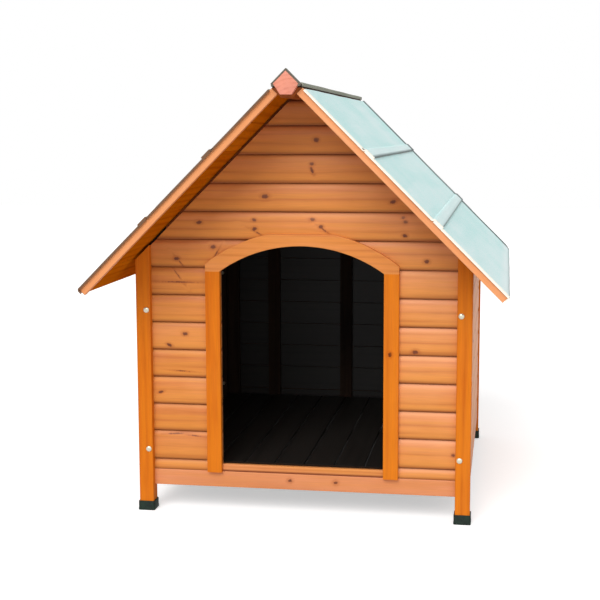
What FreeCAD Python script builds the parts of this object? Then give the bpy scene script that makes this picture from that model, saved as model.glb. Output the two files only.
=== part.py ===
import FreeCAD, Part
import math
import os

from FreeCAD import Vector

# A wooden dog house with a saddle roof, on four corner posts. All sizes are in millimetres.
# The frame: +X is to the right of the doorway, +Y runs from the doorway to the rear wall, +Z is up,
# and the origin is on the ground under the middle of the house's overall outline.

# Body
BODY_WIDTH = 800.0            # over the outer faces of the corner posts
BODY_DEPTH = 885.0            # from the front of the front posts to the back of the rear posts
POST = 35.0                   # square section of a corner post
WALL_INSET = 16.0             # front and rear boards, behind the faces of the posts
SIDE_INSET = 4.0              # side boards, inside the outer faces of the posts

# Feet
FOOT_HEIGHT = 23.0
FOOT_WALL = 3.0
FOOT_FLOOR = 4.0
FOOT_EDGE = 2.0               # chamfer of the caps' upright corners
FOOT_PAD_INSET = 5.0
FOOT_PAD_DEPTH = 1.5

# Bottom rails and wall boards
RAIL_BOTTOM = 66.0
RAIL_HEIGHT = 40.0
RAIL_THICK = 20.0
SILL_STRIP = 25.0             # height of the lowest, narrow board
BOARD_PITCH = 66.6            # from one board joint to the next
BOARD_THICK = 12.0
BOARD_ROUND_HEIGHT = 16.0     # the rounded upper edge of a board
BOARD_ROUND_DEPTH = 6.0
TONGUE_THICK = 4.5
TONGUE_HEIGHT = 6.0
BOARD_GAP = 0.4               # play in the joint between two boards

# Doorway
DOOR_WIDTH = 390.0
DOOR_BOTTOM = 124.4
DOOR_BELOW_APEX = 454.4       # from the roof's apex down to where the arched head begins
DOOR_RISE = 62.1              # of the arched head, over the straight sides
TRIM_WIDTH = 35.6
TRIM_THICK = 12.0
TRIM_RAIL_LAP = 6.0           # how far the side trims reach down over the rail
TRIM_TOP_CUT = 8.3            # what the plank's straight top edge takes off the head's outer arc
TRIM_EDGE = 1.5               # eased arris of the trims
STUD_SETBACK = 8.0            # door studs, back from the edge of the doorway

# Inner framing
CLEAT_THICK = 18.0            # cleats behind the front and rear boards
CLEAT_WIDTH = 35.0
SIDE_BATTEN_WIDTH = 35.0      # upright battens behind the side boards
PLATE_HEIGHT = 50.0           # wall plate under each slope, at its lower side
RAFTER_DEPTH = 40.0
KING_WIDTH = 40.0

# Floor
BEARER_WIDTH = 30.0
BEARER_HEIGHT = 20.0
FLOOR_BOARD_THICK = 12.0
FLOOR_BOARDS = 5              # boards in each half of the floor
FLOOR_BOARD_GAP = 3.0
FLOOR_CLEATS = 3
FLOOR_CLEAT_WIDTH = 35.0
FLOOR_MARGIN = 2.0            # play round a lift-out floor section
LOOSE_GAP = 0.4               # between a loose or hinged piece and what it rests on

# Roof
ROOF_PITCH = 45.0
ROOF_APEX = 1043.0            # where the tops of the two roof slopes would meet
ROOF_HALF_WIDTH = 480.0       # from the middle to the upper corner of the eave
FRONT_OVERHANG = 173.0
REAR_OVERHANG = 45.0
ROOF_BOARD_THICK = 14.0
ROOF_BOARDS = 7
ROOF_BOARD_GAP = 0.8
WALL_TOP_GAP = 6.5            # shadow gap between the wall boards and the roof boards
RAKE_HEIGHT = 18.0
RAKE_THICK = 16.0
BATTEN_HEIGHT = 20.0
BATTEN_WIDTH = 35.0
BATTENS = 3
BATTEN_TOP_MARGIN = 30.0      # from the top edge of a slope down to its battens
BATTEN_WALL_MARGIN = 15.0     # between the end of a batten and the side framing
FELT = 3.0
FELT_OVERHANG = 6.0
FELT_EXPOSURE = 210.0         # visible length of the middle course
FELT_EAVE_COURSE = 204.0      # visible length of the lowest course
FELT_LAP = 24.0
FELT_STEP = 4.0
FELT_FOLD = 9.0               # turned down over the end of the slope
FELT_TOP_SETBACK = 6.0

# Ridge
RIDGE_SEAT = 34.0             # from the middle to the upper corner of a slope's top edge
RIDGE_GAP = 1.0
RIDGE_FLAT = 12.5             # half the width of the ridge beam's underside
CAP_HALF_WIDTH = 32.0
CAP_HEIGHT = 8.5
CAP_FELT_DROP = 6.0           # how far the cap's felt comes down its sides
BLOCK_THICK = 16.0
BLOCK_TOP_RISE = 28.0         # from the widest level of the front block up to its point
BLOCK_HALF_WIDTH = 28.0
BLOCK_LOWER = 23.0            # from that level down to the block's flat bottom
BLOCK_ABOVE_BEAM = 8.0        # the widest level, above the top of the ridge beam
BLOCK_FELT = 3.5
BLOCK_FELT_DROP = 5.0
BLOCK_GAP = 0.5

# Roof hinges
HINGE_INSET = 170.0           # from the end of the roof to the middle of a hinge
HINGE_LENGTH = 75.0
HINGE_KNUCKLES = 3
HINGE_PLAY = 0.4
HINGE_LEAF = 1.5
HINGE_LEAF_WIDTH = 30.0
HINGE_BARREL = 4.0            # radius
HINGE_PIN = 2.0               # radius
HINGE_RUNNING = 0.05          # radial clearance of the pin in the turning knuckles
HINGE_SIDE_GAP = 0.6          # between a turning knuckle and the side of the ridge cap
HINGE_SCREW_REACH = 18.0      # from the pin to the screw holes of the turning leaf
HINGE_SCREW_MARGIN = 10.0     # from the ends of a leaf to its screw holes
HINGE_SCREWS = 2              # screw holes in each leaf
HINGE_SCREW_HOLE = 1.8        # radius

# Bolts through the posts into the side panels
BOLT_ABOVE_RAIL = 47.5        # the lower bolts, over the tops of the rails
BOLT_BELOW_PLATE = 95.0       # the upper bolts, under the wall plates
BOLT_SHANK = 3.0              # radius
BOLT_CLEARANCE = 0.3
BOLT_HEAD = 7.0               # radius
BOLT_CROWN = 4.0              # radius of the head's blunt top
BOLT_HEAD_HEIGHT = 3.6
NUT_ACROSS_FLATS = 10.0
NUT_HEIGHT = 5.0
NUT_SIDES = 6

# Derived planes
PITCH = math.radians(ROOF_PITCH)
ROOF_LENGTH = BODY_DEPTH + FRONT_OVERHANG + REAR_OVERHANG
ROOF_END = ROOF_LENGTH / 2
FRONT = -ROOF_END + FRONT_OVERHANG
REAR = FRONT + BODY_DEPTH
HALF = BODY_WIDTH / 2
POST_IN = HALF - POST
SIDE_FACE = HALF - SIDE_INSET
SIDE_BACK = SIDE_FACE - BOARD_THICK
RAIL_TOP = RAIL_BOTTOM + RAIL_HEIGHT
FIRST_JOINT = RAIL_TOP + SILL_STRIP
BOARD_BACK = WALL_INSET + BOARD_THICK
CLEAT_BACK = BOARD_BACK + CLEAT_THICK
BEARER_TOP = RAIL_BOTTOM + BEARER_HEIGHT
FLOOR_TOP = RAIL_TOP + FLOOR_BOARD_THICK
DOOR_HALF = DOOR_WIDTH / 2
DOOR_SPRING = ROOF_APEX - DOOR_BELOW_APEX
DOOR_APEX = DOOR_SPRING + DOOR_RISE
WALL_CUT = -(ROOF_BOARD_THICK + WALL_TOP_GAP)
SLOPE_TOP = RIDGE_SEAT / math.cos(PITCH)
SLOPE_END = ROOF_HALF_WIDTH / math.cos(PITCH)
JOINT_LOW = SLOPE_END - FELT_EAVE_COURSE
JOINT_HIGH = JOINT_LOW - FELT_EXPOSURE
FAR = BODY_WIDTH + BODY_DEPTH + ROOF_APEX
SAME = 1e-4                   # two places closer than this are one

os.makedirs("parts", exist_ok=True)


def save(name, solids):
    """Write one named sub-part, made of one or more separate solids."""
    solids = [solid for shape in solids for solid in shape.Solids]
    shape = solids[0] if len(solids) == 1 else Part.makeCompound(solids)
    shape.exportStep(os.path.join("parts", name + ".step"))


def box(x0, x1, y0, y1, z0, z1):
    """A block between two opposite corners, given in any order."""
    low = Vector(min(x0, x1), min(y0, y1), min(z0, z1))
    return Part.makeBox(abs(x1 - x0), abs(y1 - y0), abs(z1 - z0), low)


def outline_face(points):
    """A flat face inside straight lines through the points, or arcs where a triple gives one."""
    edges = []
    here = points[0]
    for item in points[1:] + points[:1]:
        if isinstance(item, tuple):
            edges.append(Part.Arc(here, item[0], item[1]).toShape())
            here = item[1]
        else:
            edges.append(Part.LineSegment(here, item).toShape())
            here = item
    return Part.Face(Part.Wire(edges))


def prism_y(points, y0, y1):
    """An outline of (x, z) points, run from y0 to y1."""
    face = outline_face([Vector(x, y0, z) for x, z in points])
    return face.extrude(Vector(0, y1 - y0, 0))


def slope_point(side, u, n):
    """A point in the roof's cross-section.

    side is 1 on the right and -1 on the left, u runs down the slope from the point where the two
    slopes would meet, and n stands square off the tops of the roof boards.
    """
    x = u * math.cos(PITCH) + n * math.sin(PITCH)
    z = ROOF_APEX - u * math.sin(PITCH) + n * math.cos(PITCH)
    return side * x, z


def slope_prism(side, points, y0, y1):
    """An outline of (u, n) points on one slope, run from y0 to y1."""
    return prism_y([slope_point(side, u, n) for u, n in points], y0, y1)


def slope_height(x, n):
    """The height of the plane n on the roof, at a distance x from the middle."""
    return ROOF_APEX - abs(x) * math.tan(PITCH) + n / math.cos(PITCH)


def wall_y(end, depth):
    """The y of a plane inside the front (end -1) or rear (end 1) faces of the posts."""
    return FRONT + depth if end < 0 else REAR - depth


def below_slopes(side_gap, level=0.0):
    """Everything under both roof slopes, down to a level. side_gap is n on the left and right."""
    points = []
    for side, n in zip((-1, 1), side_gap):
        points.append((side * FAR, slope_height(FAR, n)))
    apex_x = (side_gap[0] - side_gap[1]) / (2 * math.sin(PITCH))
    apex_z = ROOF_APEX + (side_gap[0] + side_gap[1]) / (2 * math.cos(PITCH))
    low = min(slope_height(FAR, side_gap[0]), slope_height(FAR, side_gap[1]), level)
    outline = [(-FAR, low - FAR), points[0], (-apex_x, apex_z), points[1], (FAR, low - FAR)]
    return prism_y(outline, -FAR, FAR)


def beam_outline(gap):
    """The ridge beam's section: flat top and bottom, sides along the slopes' top edges."""
    top_x, top_z = slope_point(1, SLOPE_TOP - gap, 0)
    run = (top_x - RIDGE_FLAT) / math.tan(PITCH)
    low_z = top_z - run
    return [(-top_x, top_z), (top_x, top_z), (RIDGE_FLAT, low_z), (-RIDGE_FLAT, low_z)]


def ridge_space(gap):
    """Everything between the top edges of the two slopes, with the beam's underside below it."""
    corners = beam_outline(gap)
    low_z = corners[2][1]
    far_z = low_z + (FAR - RIDGE_FLAT) / math.tan(PITCH)
    outline = [(-FAR, far_z), (FAR, far_z), (RIDGE_FLAT, low_z), (-RIDGE_FLAT, low_z)]
    return prism_y(outline, -FAR, FAR)


def board_face(height, seated):
    """A wall board's section, as (depth, level) points: flat belly, rounded top, tongue, rebate."""
    rise = BOARD_ROUND_HEIGHT
    sink = BOARD_ROUND_DEPTH
    radius = (rise ** 2 + sink ** 2) / (2 * sink)
    half_turn = math.asin(rise / radius) / 2
    shoulder = height - rise
    middle = (radius * (1 - math.cos(half_turn)), shoulder + radius * math.sin(half_turn))
    tongue = BOARD_THICK - TONGUE_THICK
    rebate = tongue - BOARD_GAP
    points = [(0.0, 0.0), (0.0, shoulder), (middle, (sink, height)), (tongue, height)]
    points.append((tongue, height + TONGUE_HEIGHT))
    points.append((BOARD_THICK, height + TONGUE_HEIGHT))
    if seated:
        points.append((BOARD_THICK, 0.0))
    else:
        points.append((BOARD_THICK, TONGUE_HEIGHT + BOARD_GAP))
        points.append((rebate, TONGUE_HEIGHT + BOARD_GAP))
        points.append((rebate, BOARD_GAP))
        points.append((0.0, BOARD_GAP))
        points = points[1:]
    return points


def board_rows(top):
    """The (bottom, height, seated) of each row of boards, from the rail up to a level."""
    rows = [(RAIL_TOP, SILL_STRIP, True)]
    level = FIRST_JOINT
    while level < top:
        rows.append((level, BOARD_PITCH, False))
        level += BOARD_PITCH
    return rows


def wall_board(row, place, run):
    """One board: its section set in space by place(depth, level), then run along a vector."""
    bottom, height, seated = row
    points = []
    for item in board_face(height, seated):
        if isinstance(item[0], tuple):
            points.append(tuple(place(depth, bottom + level) for depth, level in item))
        else:
            points.append(place(item[0], bottom + item[1]))
    return outline_face(points).extrude(run)


def end_boards(end):
    """The boards of the front or rear wall, cut off under the roof and round the ridge beam."""
    boards = []
    keep = below_slopes((WALL_CUT, WALL_CUT))
    beam = ridge_space(0.0)
    face = wall_y(end, WALL_INSET)
    top = slope_height(0, WALL_CUT) - TONGUE_HEIGHT - BOARD_ROUND_HEIGHT

    def place(depth, level):
        return Vector(-POST_IN, face - end * depth, level)

    for row in board_rows(top):
        board = wall_board(row, place, Vector(2 * POST_IN, 0, 0))
        if row[0] + row[1] + TONGUE_HEIGHT > slope_height(POST_IN, WALL_CUT):
            board = board.common(keep).cut(beam)
        boards.append(board)
    return boards


def arch_circle():
    """The radius of the doorway's arched head, and the height of its centre."""
    radius = (DOOR_HALF ** 2 + DOOR_RISE ** 2) / (2 * DOOR_RISE)
    return radius, DOOR_APEX - radius


def doorway_solid():
    """The space of the doorway, with its arched head, run through the front wall."""
    outline = [(-DOOR_HALF, DOOR_BOTTOM), (-DOOR_HALF, DOOR_SPRING)]
    points = [Vector(x, -FAR, z) for x, z in outline]
    points.append((Vector(0, -FAR, DOOR_APEX), Vector(DOOR_HALF, -FAR, DOOR_SPRING)))
    points.append(Vector(DOOR_HALF, -FAR, DOOR_BOTTOM))
    return outline_face(points).extrude(Vector(0, FAR, 0))


def make_front_boards():
    door = doorway_solid()
    groups = {"front_sill_board": [], "front_boards_left": [], "front_boards_right": [],
              "front_arch_board": [], "front_gable_boards": []}
    for board in end_boards(-1):
        bounds = board.BoundBox
        if bounds.ZMin > DOOR_APEX or bounds.ZMax < DOOR_BOTTOM:
            groups["front_gable_boards"].append(board)
            continue
        pieces = board.cut(door).Solids
        if len(pieces) == 1:
            name = "front_sill_board" if bounds.ZMin < DOOR_BOTTOM else "front_arch_board"
            groups[name].append(pieces[0])
            continue
        for piece in pieces:
            side = "left" if piece.CenterOfMass.x < 0 else "right"
            groups["front_boards_" + side].append(piece)
    for name, solids in groups.items():
        save(name, solids)


def make_side_boards(name, side):
    keep = below_slopes((WALL_CUT, WALL_CUT))
    start = FRONT + POST

    def place(depth, level):
        return Vector(side * (SIDE_FACE - depth), start, level)

    boards = []
    for row in board_rows(slope_height(SIDE_FACE, WALL_CUT) - TONGUE_HEIGHT):
        board = wall_board(row, place, Vector(0, BODY_DEPTH - 2 * POST, 0))
        boards.append(board.common(keep))
    save(name, boards)


def plate_bottom():
    """The height of the wall plates' undersides."""
    return slope_height(SIDE_BACK, -ROOF_BOARD_THICK) - PLATE_HEIGHT


def bolt_starts(side, end):
    """Where the two bolts of one corner enter the post: in line with the side panel's batten."""
    x = side * (POST_IN + SIDE_BACK) / 2
    y = wall_y(end, 0)
    levels = (RAIL_TOP + BOLT_ABOVE_RAIL, plate_bottom() - BOLT_BELOW_PLATE)
    return [Vector(x, y, level) for level in levels]


def bolt_holes(side, end):
    """The clearance holes for the bolts of one corner, through the post and the batten behind it."""
    radius = BOLT_SHANK + BOLT_CLEARANCE
    length = POST + SIDE_BATTEN_WIDTH
    inward = Vector(0, -end, 0)
    return [Part.makeCylinder(radius, length, start, inward) for start in bolt_starts(side, end)]


def make_post(name, side, end):
    post = box(side * POST_IN, side * HALF, wall_y(end, 0), wall_y(end, POST), FOOT_FLOOR, FAR)
    post = post.common(below_slopes((WALL_CUT, WALL_CUT)))
    for hole in bolt_holes(side, end):
        post = post.cut(hole)
    save(name, [post])


def make_foot_caps():
    caps = []
    for side in (-1, 1):
        for end in (-1, 1):
            x0 = side * (POST_IN - FOOT_WALL)
            x1 = side * (HALF + FOOT_WALL)
            y0 = wall_y(end, -FOOT_WALL)
            y1 = wall_y(end, POST + FOOT_WALL)
            cap = box(x0, x1, y0, y1, 0, FOOT_HEIGHT)
            upright = [edge for edge in cap.Edges if edge.BoundBox.ZLength > FOOT_HEIGHT / 2]
            cap = cap.makeChamfer(FOOT_EDGE, upright)
            socket = box(side * POST_IN, side * HALF, wall_y(end, 0), wall_y(end, POST),
                         FOOT_FLOOR, FOOT_HEIGHT)
            recess = box(x0 + side * FOOT_PAD_INSET, x1 - side * FOOT_PAD_INSET,
                         y0 - end * FOOT_PAD_INSET, y1 + end * FOOT_PAD_INSET, 0, FOOT_PAD_DEPTH)
            caps.append(cap.cut(socket).cut(recess))
    save("foot_caps", caps)


def make_rails():
    for name, end in (("front_rail", -1), ("rear_rail", 1)):
        y0 = wall_y(end, WALL_INSET)
        y1 = wall_y(end, WALL_INSET + RAIL_THICK)
        save(name, [box(-POST_IN, POST_IN, y0, y1, RAIL_BOTTOM, RAIL_TOP)])
    for name, side in (("left_rail", -1), ("right_rail", 1)):
        x0 = side * (SIDE_FACE - RAIL_THICK)
        save(name, [box(x0, side * SIDE_FACE, FRONT + POST, REAR - POST, RAIL_BOTTOM, RAIL_TOP)])


def eased_front(solid, ends):
    """Ease the arrises of a trim's front face, except where it ends, at the given levels."""
    front = solid.BoundBox.YMin
    edges = []
    for edge in solid.Edges:
        bounds = edge.BoundBox
        at_end = bounds.ZLength < SAME and min(abs(bounds.ZMin - end) for end in ends) < SAME
        if bounds.YLength < SAME and bounds.YMin - front < SAME and not at_end:
            edges.append(edge)
    return solid.makeChamfer(TRIM_EDGE, edges)


def make_trims():
    back = FRONT + WALL_INSET
    front = back - TRIM_THICK
    low = RAIL_TOP - TRIM_RAIL_LAP
    outer = DOOR_HALF + TRIM_WIDTH
    for name, side in (("door_trim_left", -1), ("door_trim_right", 1)):
        trim = box(side * DOOR_HALF, side * outer, front, back, low, DOOR_SPRING)
        save(name, [eased_front(trim, (low, DOOR_SPRING))])
    radius, centre = arch_circle()
    big = radius + TRIM_WIDTH
    flat = centre + big - TRIM_TOP_CUT
    shoulder = centre + math.sqrt(big ** 2 - outer ** 2)
    flat_x = math.sqrt(big ** 2 - (flat - centre) ** 2)
    mid_x = (outer + flat_x) / 2
    mid_z = centre + math.sqrt(big ** 2 - mid_x ** 2)

    def at(x, z):
        return Vector(x, front, z)

    points = [at(-outer, DOOR_SPRING), at(-outer, shoulder), (at(-mid_x, mid_z), at(-flat_x, flat))]
    points += [at(flat_x, flat), (at(mid_x, mid_z), at(outer, shoulder)), at(outer, DOOR_SPRING)]
    points += [at(DOOR_HALF, DOOR_SPRING), (at(0, DOOR_APEX), at(-DOOR_HALF, DOOR_SPRING))]
    head = outline_face(points).extrude(Vector(0, TRIM_THICK, 0))
    save("door_trim_head", [eased_front(head, (DOOR_SPRING,))])


def under_rafters():
    """The space below the undersides of all four rafters."""
    depth = -(ROOF_BOARD_THICK + RAFTER_DEPTH)
    return below_slopes((depth, depth))


def under_roof_boards(side):
    """The space below the roof boards of one side, with play under the slope that opens."""
    top = -ROOF_BOARD_THICK - (LOOSE_GAP if side < 0 else 0.0)
    return below_slopes((top, top))


def rafter_pair(end):
    """Both rafters of one gable, between the corner cleats, with a notch for the ridge beam."""
    beam = ridge_space(RIDGE_GAP)
    low = under_rafters()
    y0 = wall_y(end, BOARD_BACK)
    y1 = wall_y(end, CLEAT_BACK)
    rafters = []
    for side in (-1, 1):
        half = box(0, side * (POST_IN - CLEAT_WIDTH), y0, y1, RAIL_TOP, FAR)
        half = half.common(under_roof_boards(side)).cut(low).cut(beam)
        rafters.append(half)
    return rafters


def make_end_framing():
    low = under_rafters()
    corner = []
    for end in (-1, 1):
        y0 = wall_y(end, BOARD_BACK)
        y1 = wall_y(end, CLEAT_BACK)
        for side in (-1, 1):
            cleat = box(side * POST_IN, side * (POST_IN - CLEAT_WIDTH), y0, y1, RAIL_TOP, FAR)
            corner.append(cleat.common(under_roof_boards(side)))
    save("corner_cleats", corner)

    y0 = wall_y(-1, BOARD_BACK)
    y1 = wall_y(-1, CLEAT_BACK)
    inner = DOOR_HALF + STUD_SETBACK
    frame = []
    for side in (-1, 1):
        stud = box(side * inner, side * (inner + CLEAT_WIDTH), y0, y1, RAIL_TOP, FAR)
        frame.append(stud.common(low))
    frame.append(box(-inner, inner, y0, y1, RAIL_TOP, FLOOR_TOP))
    king_low = DOOR_APEX + STUD_SETBACK
    king = box(-KING_WIDTH / 2, KING_WIDTH / 2, y0, y1, king_low, FAR)
    frame.append(king.common(low))
    save("door_frame", frame)

    y0 = wall_y(1, BOARD_BACK)
    y1 = wall_y(1, CLEAT_BACK)
    studs = []
    for x in (-inner - CLEAT_WIDTH / 2, 0, inner + CLEAT_WIDTH / 2):
        stud = box(x - CLEAT_WIDTH / 2, x + CLEAT_WIDTH / 2, y0, y1, RAIL_TOP, FAR)
        studs.append(stud.common(low))
    save("rear_studs", studs)
    save("front_rafters", rafter_pair(-1))
    save("rear_rafters", rafter_pair(1))


def make_side_framing():
    """The upright battens of each side panel, and the bevelled wall plates on top of them."""
    start = FRONT + POST
    stop = REAR - POST
    middle = (start + stop - SIDE_BATTEN_WIDTH) / 2
    for name, side in (("left_wall_battens", -1), ("right_wall_battens", 1)):
        battens = []
        for y in (start, middle, stop - SIDE_BATTEN_WIDTH):
            batten = box(side * POST_IN, side * SIDE_BACK, y, y + SIDE_BATTEN_WIDTH,
                         RAIL_TOP, plate_bottom())
            for end in (-1, 1):
                for hole in bolt_holes(side, end):
                    batten = batten.cut(hole)
            battens.append(batten)
        save(name, battens)
    plates = []
    for side in (-1, 1):
        plate = box(side * POST_IN, side * SIDE_BACK, start, stop, plate_bottom(), FAR)
        plates.append(plate.common(under_roof_boards(side)))
    save("wall_plates", plates)


def make_floor():
    """Bearers fixed to the rails, and two halves of the floor that lie loose on them."""
    start = FRONT + WALL_INSET + RAIL_THICK
    stop = REAR - WALL_INSET - RAIL_THICK
    outer = SIDE_FACE - RAIL_THICK
    bearers = []
    for x0, x1 in ((-outer, -outer + BEARER_WIDTH), (-BEARER_WIDTH / 2, BEARER_WIDTH / 2),
                   (outer - BEARER_WIDTH, outer)):
        bearers.append(box(x0, x1, start, stop, RAIL_BOTTOM, BEARER_TOP))
    save("floor_bearers", bearers)

    y0 = FRONT + CLEAT_BACK + FLOOR_MARGIN
    y1 = REAR - CLEAT_BACK - FLOOR_MARGIN
    x0 = FLOOR_MARGIN
    x1 = POST_IN - FLOOR_MARGIN
    pitch = (x1 - x0 + FLOOR_BOARD_GAP) / FLOOR_BOARDS
    spacing = (y1 - y0 - FLOOR_CLEAT_WIDTH) / (FLOOR_CLEATS - 1)
    for name, side in (("floor_left", -1), ("floor_right", 1)):
        boards = []
        for index in range(FLOOR_BOARDS):
            near = x0 + index * pitch
            far = near + pitch - FLOOR_BOARD_GAP
            boards.append(box(side * near, side * far, y0, y1, RAIL_TOP, FLOOR_TOP))
        save(name + "_boards", boards)
        cleats = []
        for index in range(FLOOR_CLEATS):
            y = y0 + index * spacing
            cleats.append(box(side * x0, side * x1, y, y + FLOOR_CLEAT_WIDTH,
                              BEARER_TOP + LOOSE_GAP, RAIL_TOP))
        save(name + "_cleats", cleats)


def felt_course(side, top, bottom, last):
    """One course of roofing felt. It steps up over the next course, or folds down at the eave."""
    if last:
        points = [(top, 0.0), (SLOPE_END, 0.0), (SLOPE_END, -FELT_FOLD)]
        points += [(SLOPE_END + FELT, -FELT_FOLD), (SLOPE_END + FELT, 0.0)]
        points += [(SLOPE_END, FELT), (top, FELT)]
    else:
        step = bottom - FELT_LAP - FELT_STEP
        lap = bottom - FELT_LAP
        points = [(top, 0.0), (step, 0.0), (lap, FELT), (bottom, FELT)]
        points += [(bottom, 2 * FELT), (lap, 2 * FELT), (step, FELT), (top, FELT)]
    reach = ROOF_END + FELT_OVERHANG
    return slope_prism(side, points, -reach, reach)


def make_slope(name, side):
    """One roof slope: boards on battens, rakes on both ends, and three courses of felt."""
    run = SLOPE_END - SLOPE_TOP
    pitch = (run + ROOF_BOARD_GAP) / ROOF_BOARDS
    inside = ROOF_END - RAKE_THICK
    boards = []
    for index in range(ROOF_BOARDS):
        top = SLOPE_TOP + index * pitch
        bottom = top + pitch - ROOF_BOARD_GAP
        points = [(top, 0), (bottom, 0), (bottom, -ROOF_BOARD_THICK), (top, -ROOF_BOARD_THICK)]
        boards.append(slope_prism(side, points, -inside, inside))
    save(name + "_roof_boards", boards)

    rakes = []
    points = [(SLOPE_TOP, 0), (SLOPE_END, 0), (SLOPE_END, -RAKE_HEIGHT), (SLOPE_TOP, -RAKE_HEIGHT)]
    for end in (-1, 1):
        rakes.append(slope_prism(side, points, end * inside, end * ROOF_END))
    save(name + "_rakes", rakes)

    foot_x = POST_IN - BATTEN_WALL_MARGIN
    foot = foot_x / math.cos(PITCH) + ROOF_BOARD_THICK * math.tan(PITCH)
    head = SLOPE_TOP + BATTEN_TOP_MARGIN
    low = -ROOF_BOARD_THICK - BATTEN_HEIGHT
    points = [(head, -ROOF_BOARD_THICK), (foot, -ROOF_BOARD_THICK), (foot, low), (head, low)]
    start = FRONT + CLEAT_BACK + BATTEN_WALL_MARGIN
    stop = REAR - CLEAT_BACK - BATTEN_WALL_MARGIN - BATTEN_WIDTH
    battens = []
    for index in range(BATTENS):
        y = start + index * (stop - start) / (BATTENS - 1)
        battens.append(slope_prism(side, points, y, y + BATTEN_WIDTH))
    save(name + "_roof_battens", battens)

    upper = felt_course(side, SLOPE_TOP + FELT_TOP_SETBACK, JOINT_HIGH, False)
    save(name + "_felt_upper", [upper])
    save(name + "_felt_middle", [felt_course(side, JOINT_HIGH - FELT_LAP, JOINT_LOW, False)])
    save(name + "_felt_lower", [felt_course(side, JOINT_LOW - FELT_LAP, SLOPE_END, True)])


def cap_levels():
    """The underside of the ridge cap's board, and the top of its felt."""
    bottom = slope_point(1, SLOPE_TOP - RIDGE_GAP, 0)[1]
    return bottom, bottom + CAP_HEIGHT + FELT


def make_ridge():
    """The ridge beam between the slopes, and the flat felted cap over it."""
    reach = ROOF_END + BLOCK_GAP
    save("ridge_beam", [prism_y(beam_outline(RIDGE_GAP), -reach, reach)])
    bottom, top = cap_levels()
    wood_top = top - FELT
    board = box(-CAP_HALF_WIDTH, CAP_HALF_WIDTH, -reach, reach, bottom, wood_top)
    edge = CAP_HALF_WIDTH + FELT
    drop = wood_top - CAP_FELT_DROP
    points = [(-CAP_HALF_WIDTH, drop), (-CAP_HALF_WIDTH, wood_top), (CAP_HALF_WIDTH, wood_top)]
    points += [(CAP_HALF_WIDTH, drop), (edge, drop), (edge, top), (-edge, top), (-edge, drop)]
    save("ridge_cap_board", [board])
    save("ridge_cap_felt", [prism_y(points, -reach, reach)])


def make_gable_blocks():
    """The blocks that close the ridge: a pointed, felted one in front and a low one at the rear."""
    level = cap_levels()[0] + BLOCK_ABOVE_BEAM
    low = level - BLOCK_LOWER
    point = level + BLOCK_TOP_RISE
    lower = [(BLOCK_HALF_WIDTH, level), (RIDGE_FLAT, low)]
    lower += [(-RIDGE_FLAT, low), (-BLOCK_HALF_WIDTH, level)]
    start = ROOF_END + BLOCK_GAP
    stop = start + BLOCK_THICK
    save("front_gable_block", [prism_y([(0, point)] + lower, -start, -stop)])
    save("rear_gable_block", [prism_y(lower, start, stop)])
    angle = math.atan2(BLOCK_TOP_RISE, BLOCK_HALF_WIDTH)
    side = BLOCK_FELT / math.sin(angle)
    lift = BLOCK_FELT / math.cos(angle)
    drop = BLOCK_FELT_DROP
    end_x = BLOCK_HALF_WIDTH - drop * (BLOCK_HALF_WIDTH - RIDGE_FLAT) / BLOCK_LOWER
    cover = [(BLOCK_HALF_WIDTH, level), (0, point), (-BLOCK_HALF_WIDTH, level)]
    cover += [(-end_x, level - drop), (-end_x - side, level - drop)]
    cover += [(-BLOCK_HALF_WIDTH - side, level), (0, point + lift), (BLOCK_HALF_WIDTH + side, level)]
    cover += [(end_x + side, level - drop), (end_x, level - drop)]
    save("gable_block_felt", [prism_y(cover, -start, -stop)])


def hinge_axis():
    """The (x, z) of the hinge pins, beside the left edge of the ridge cap."""
    x = -(CAP_HALF_WIDTH + FELT + HINGE_SIDE_GAP + HINGE_BARREL)
    n = FELT + HINGE_BARREL + LOOSE_GAP
    z = slope_height(x, n)
    return x, z


def hinge_middles():
    return (-ROOF_END + HINGE_INSET, ROOF_END - HINGE_INSET)


def knuckle_spans(middle, turning):
    """The y ranges of one hinge's knuckles, on the turning leaf or on the fixed one."""
    pitch = HINGE_LENGTH / HINGE_KNUCKLES
    spans = []
    for index in range(HINGE_KNUCKLES):
        if (index % 2 == 1) == turning:
            low = middle - HINGE_LENGTH / 2 + index * pitch
            spans.append((low + HINGE_PLAY / 2, low + pitch - HINGE_PLAY / 2))
    return spans


def y_cylinder(x, z, radius, y0, y1):
    return Part.makeCylinder(radius, y1 - y0, Vector(x, y0, z), Vector(0, 1, 0))


def axis_in_slope():
    """The hinge pins' place as (u, n) on the left slope."""
    x, z = hinge_axis()
    u = -x * math.cos(PITCH) + (ROOF_APEX - z) * math.sin(PITCH)
    n = -x * math.sin(PITCH) - (ROOF_APEX - z) * math.cos(PITCH)
    return u, n


def leaf_holes(point, direction, middle):
    """The screw holes of one leaf: a row along y through a point, bored in a direction."""
    pitch = (HINGE_LENGTH - 2 * HINGE_SCREW_MARGIN) / (HINGE_SCREWS - 1)
    first = middle - HINGE_LENGTH / 2 + HINGE_SCREW_MARGIN
    holes = []
    for index in range(HINGE_SCREWS):
        start = Vector(point[0], first + index * pitch, point[1])
        holes.append(Part.makeCylinder(HINGE_SCREW_HOLE, HINGE_LEAF, start, direction))
    return holes


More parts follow.
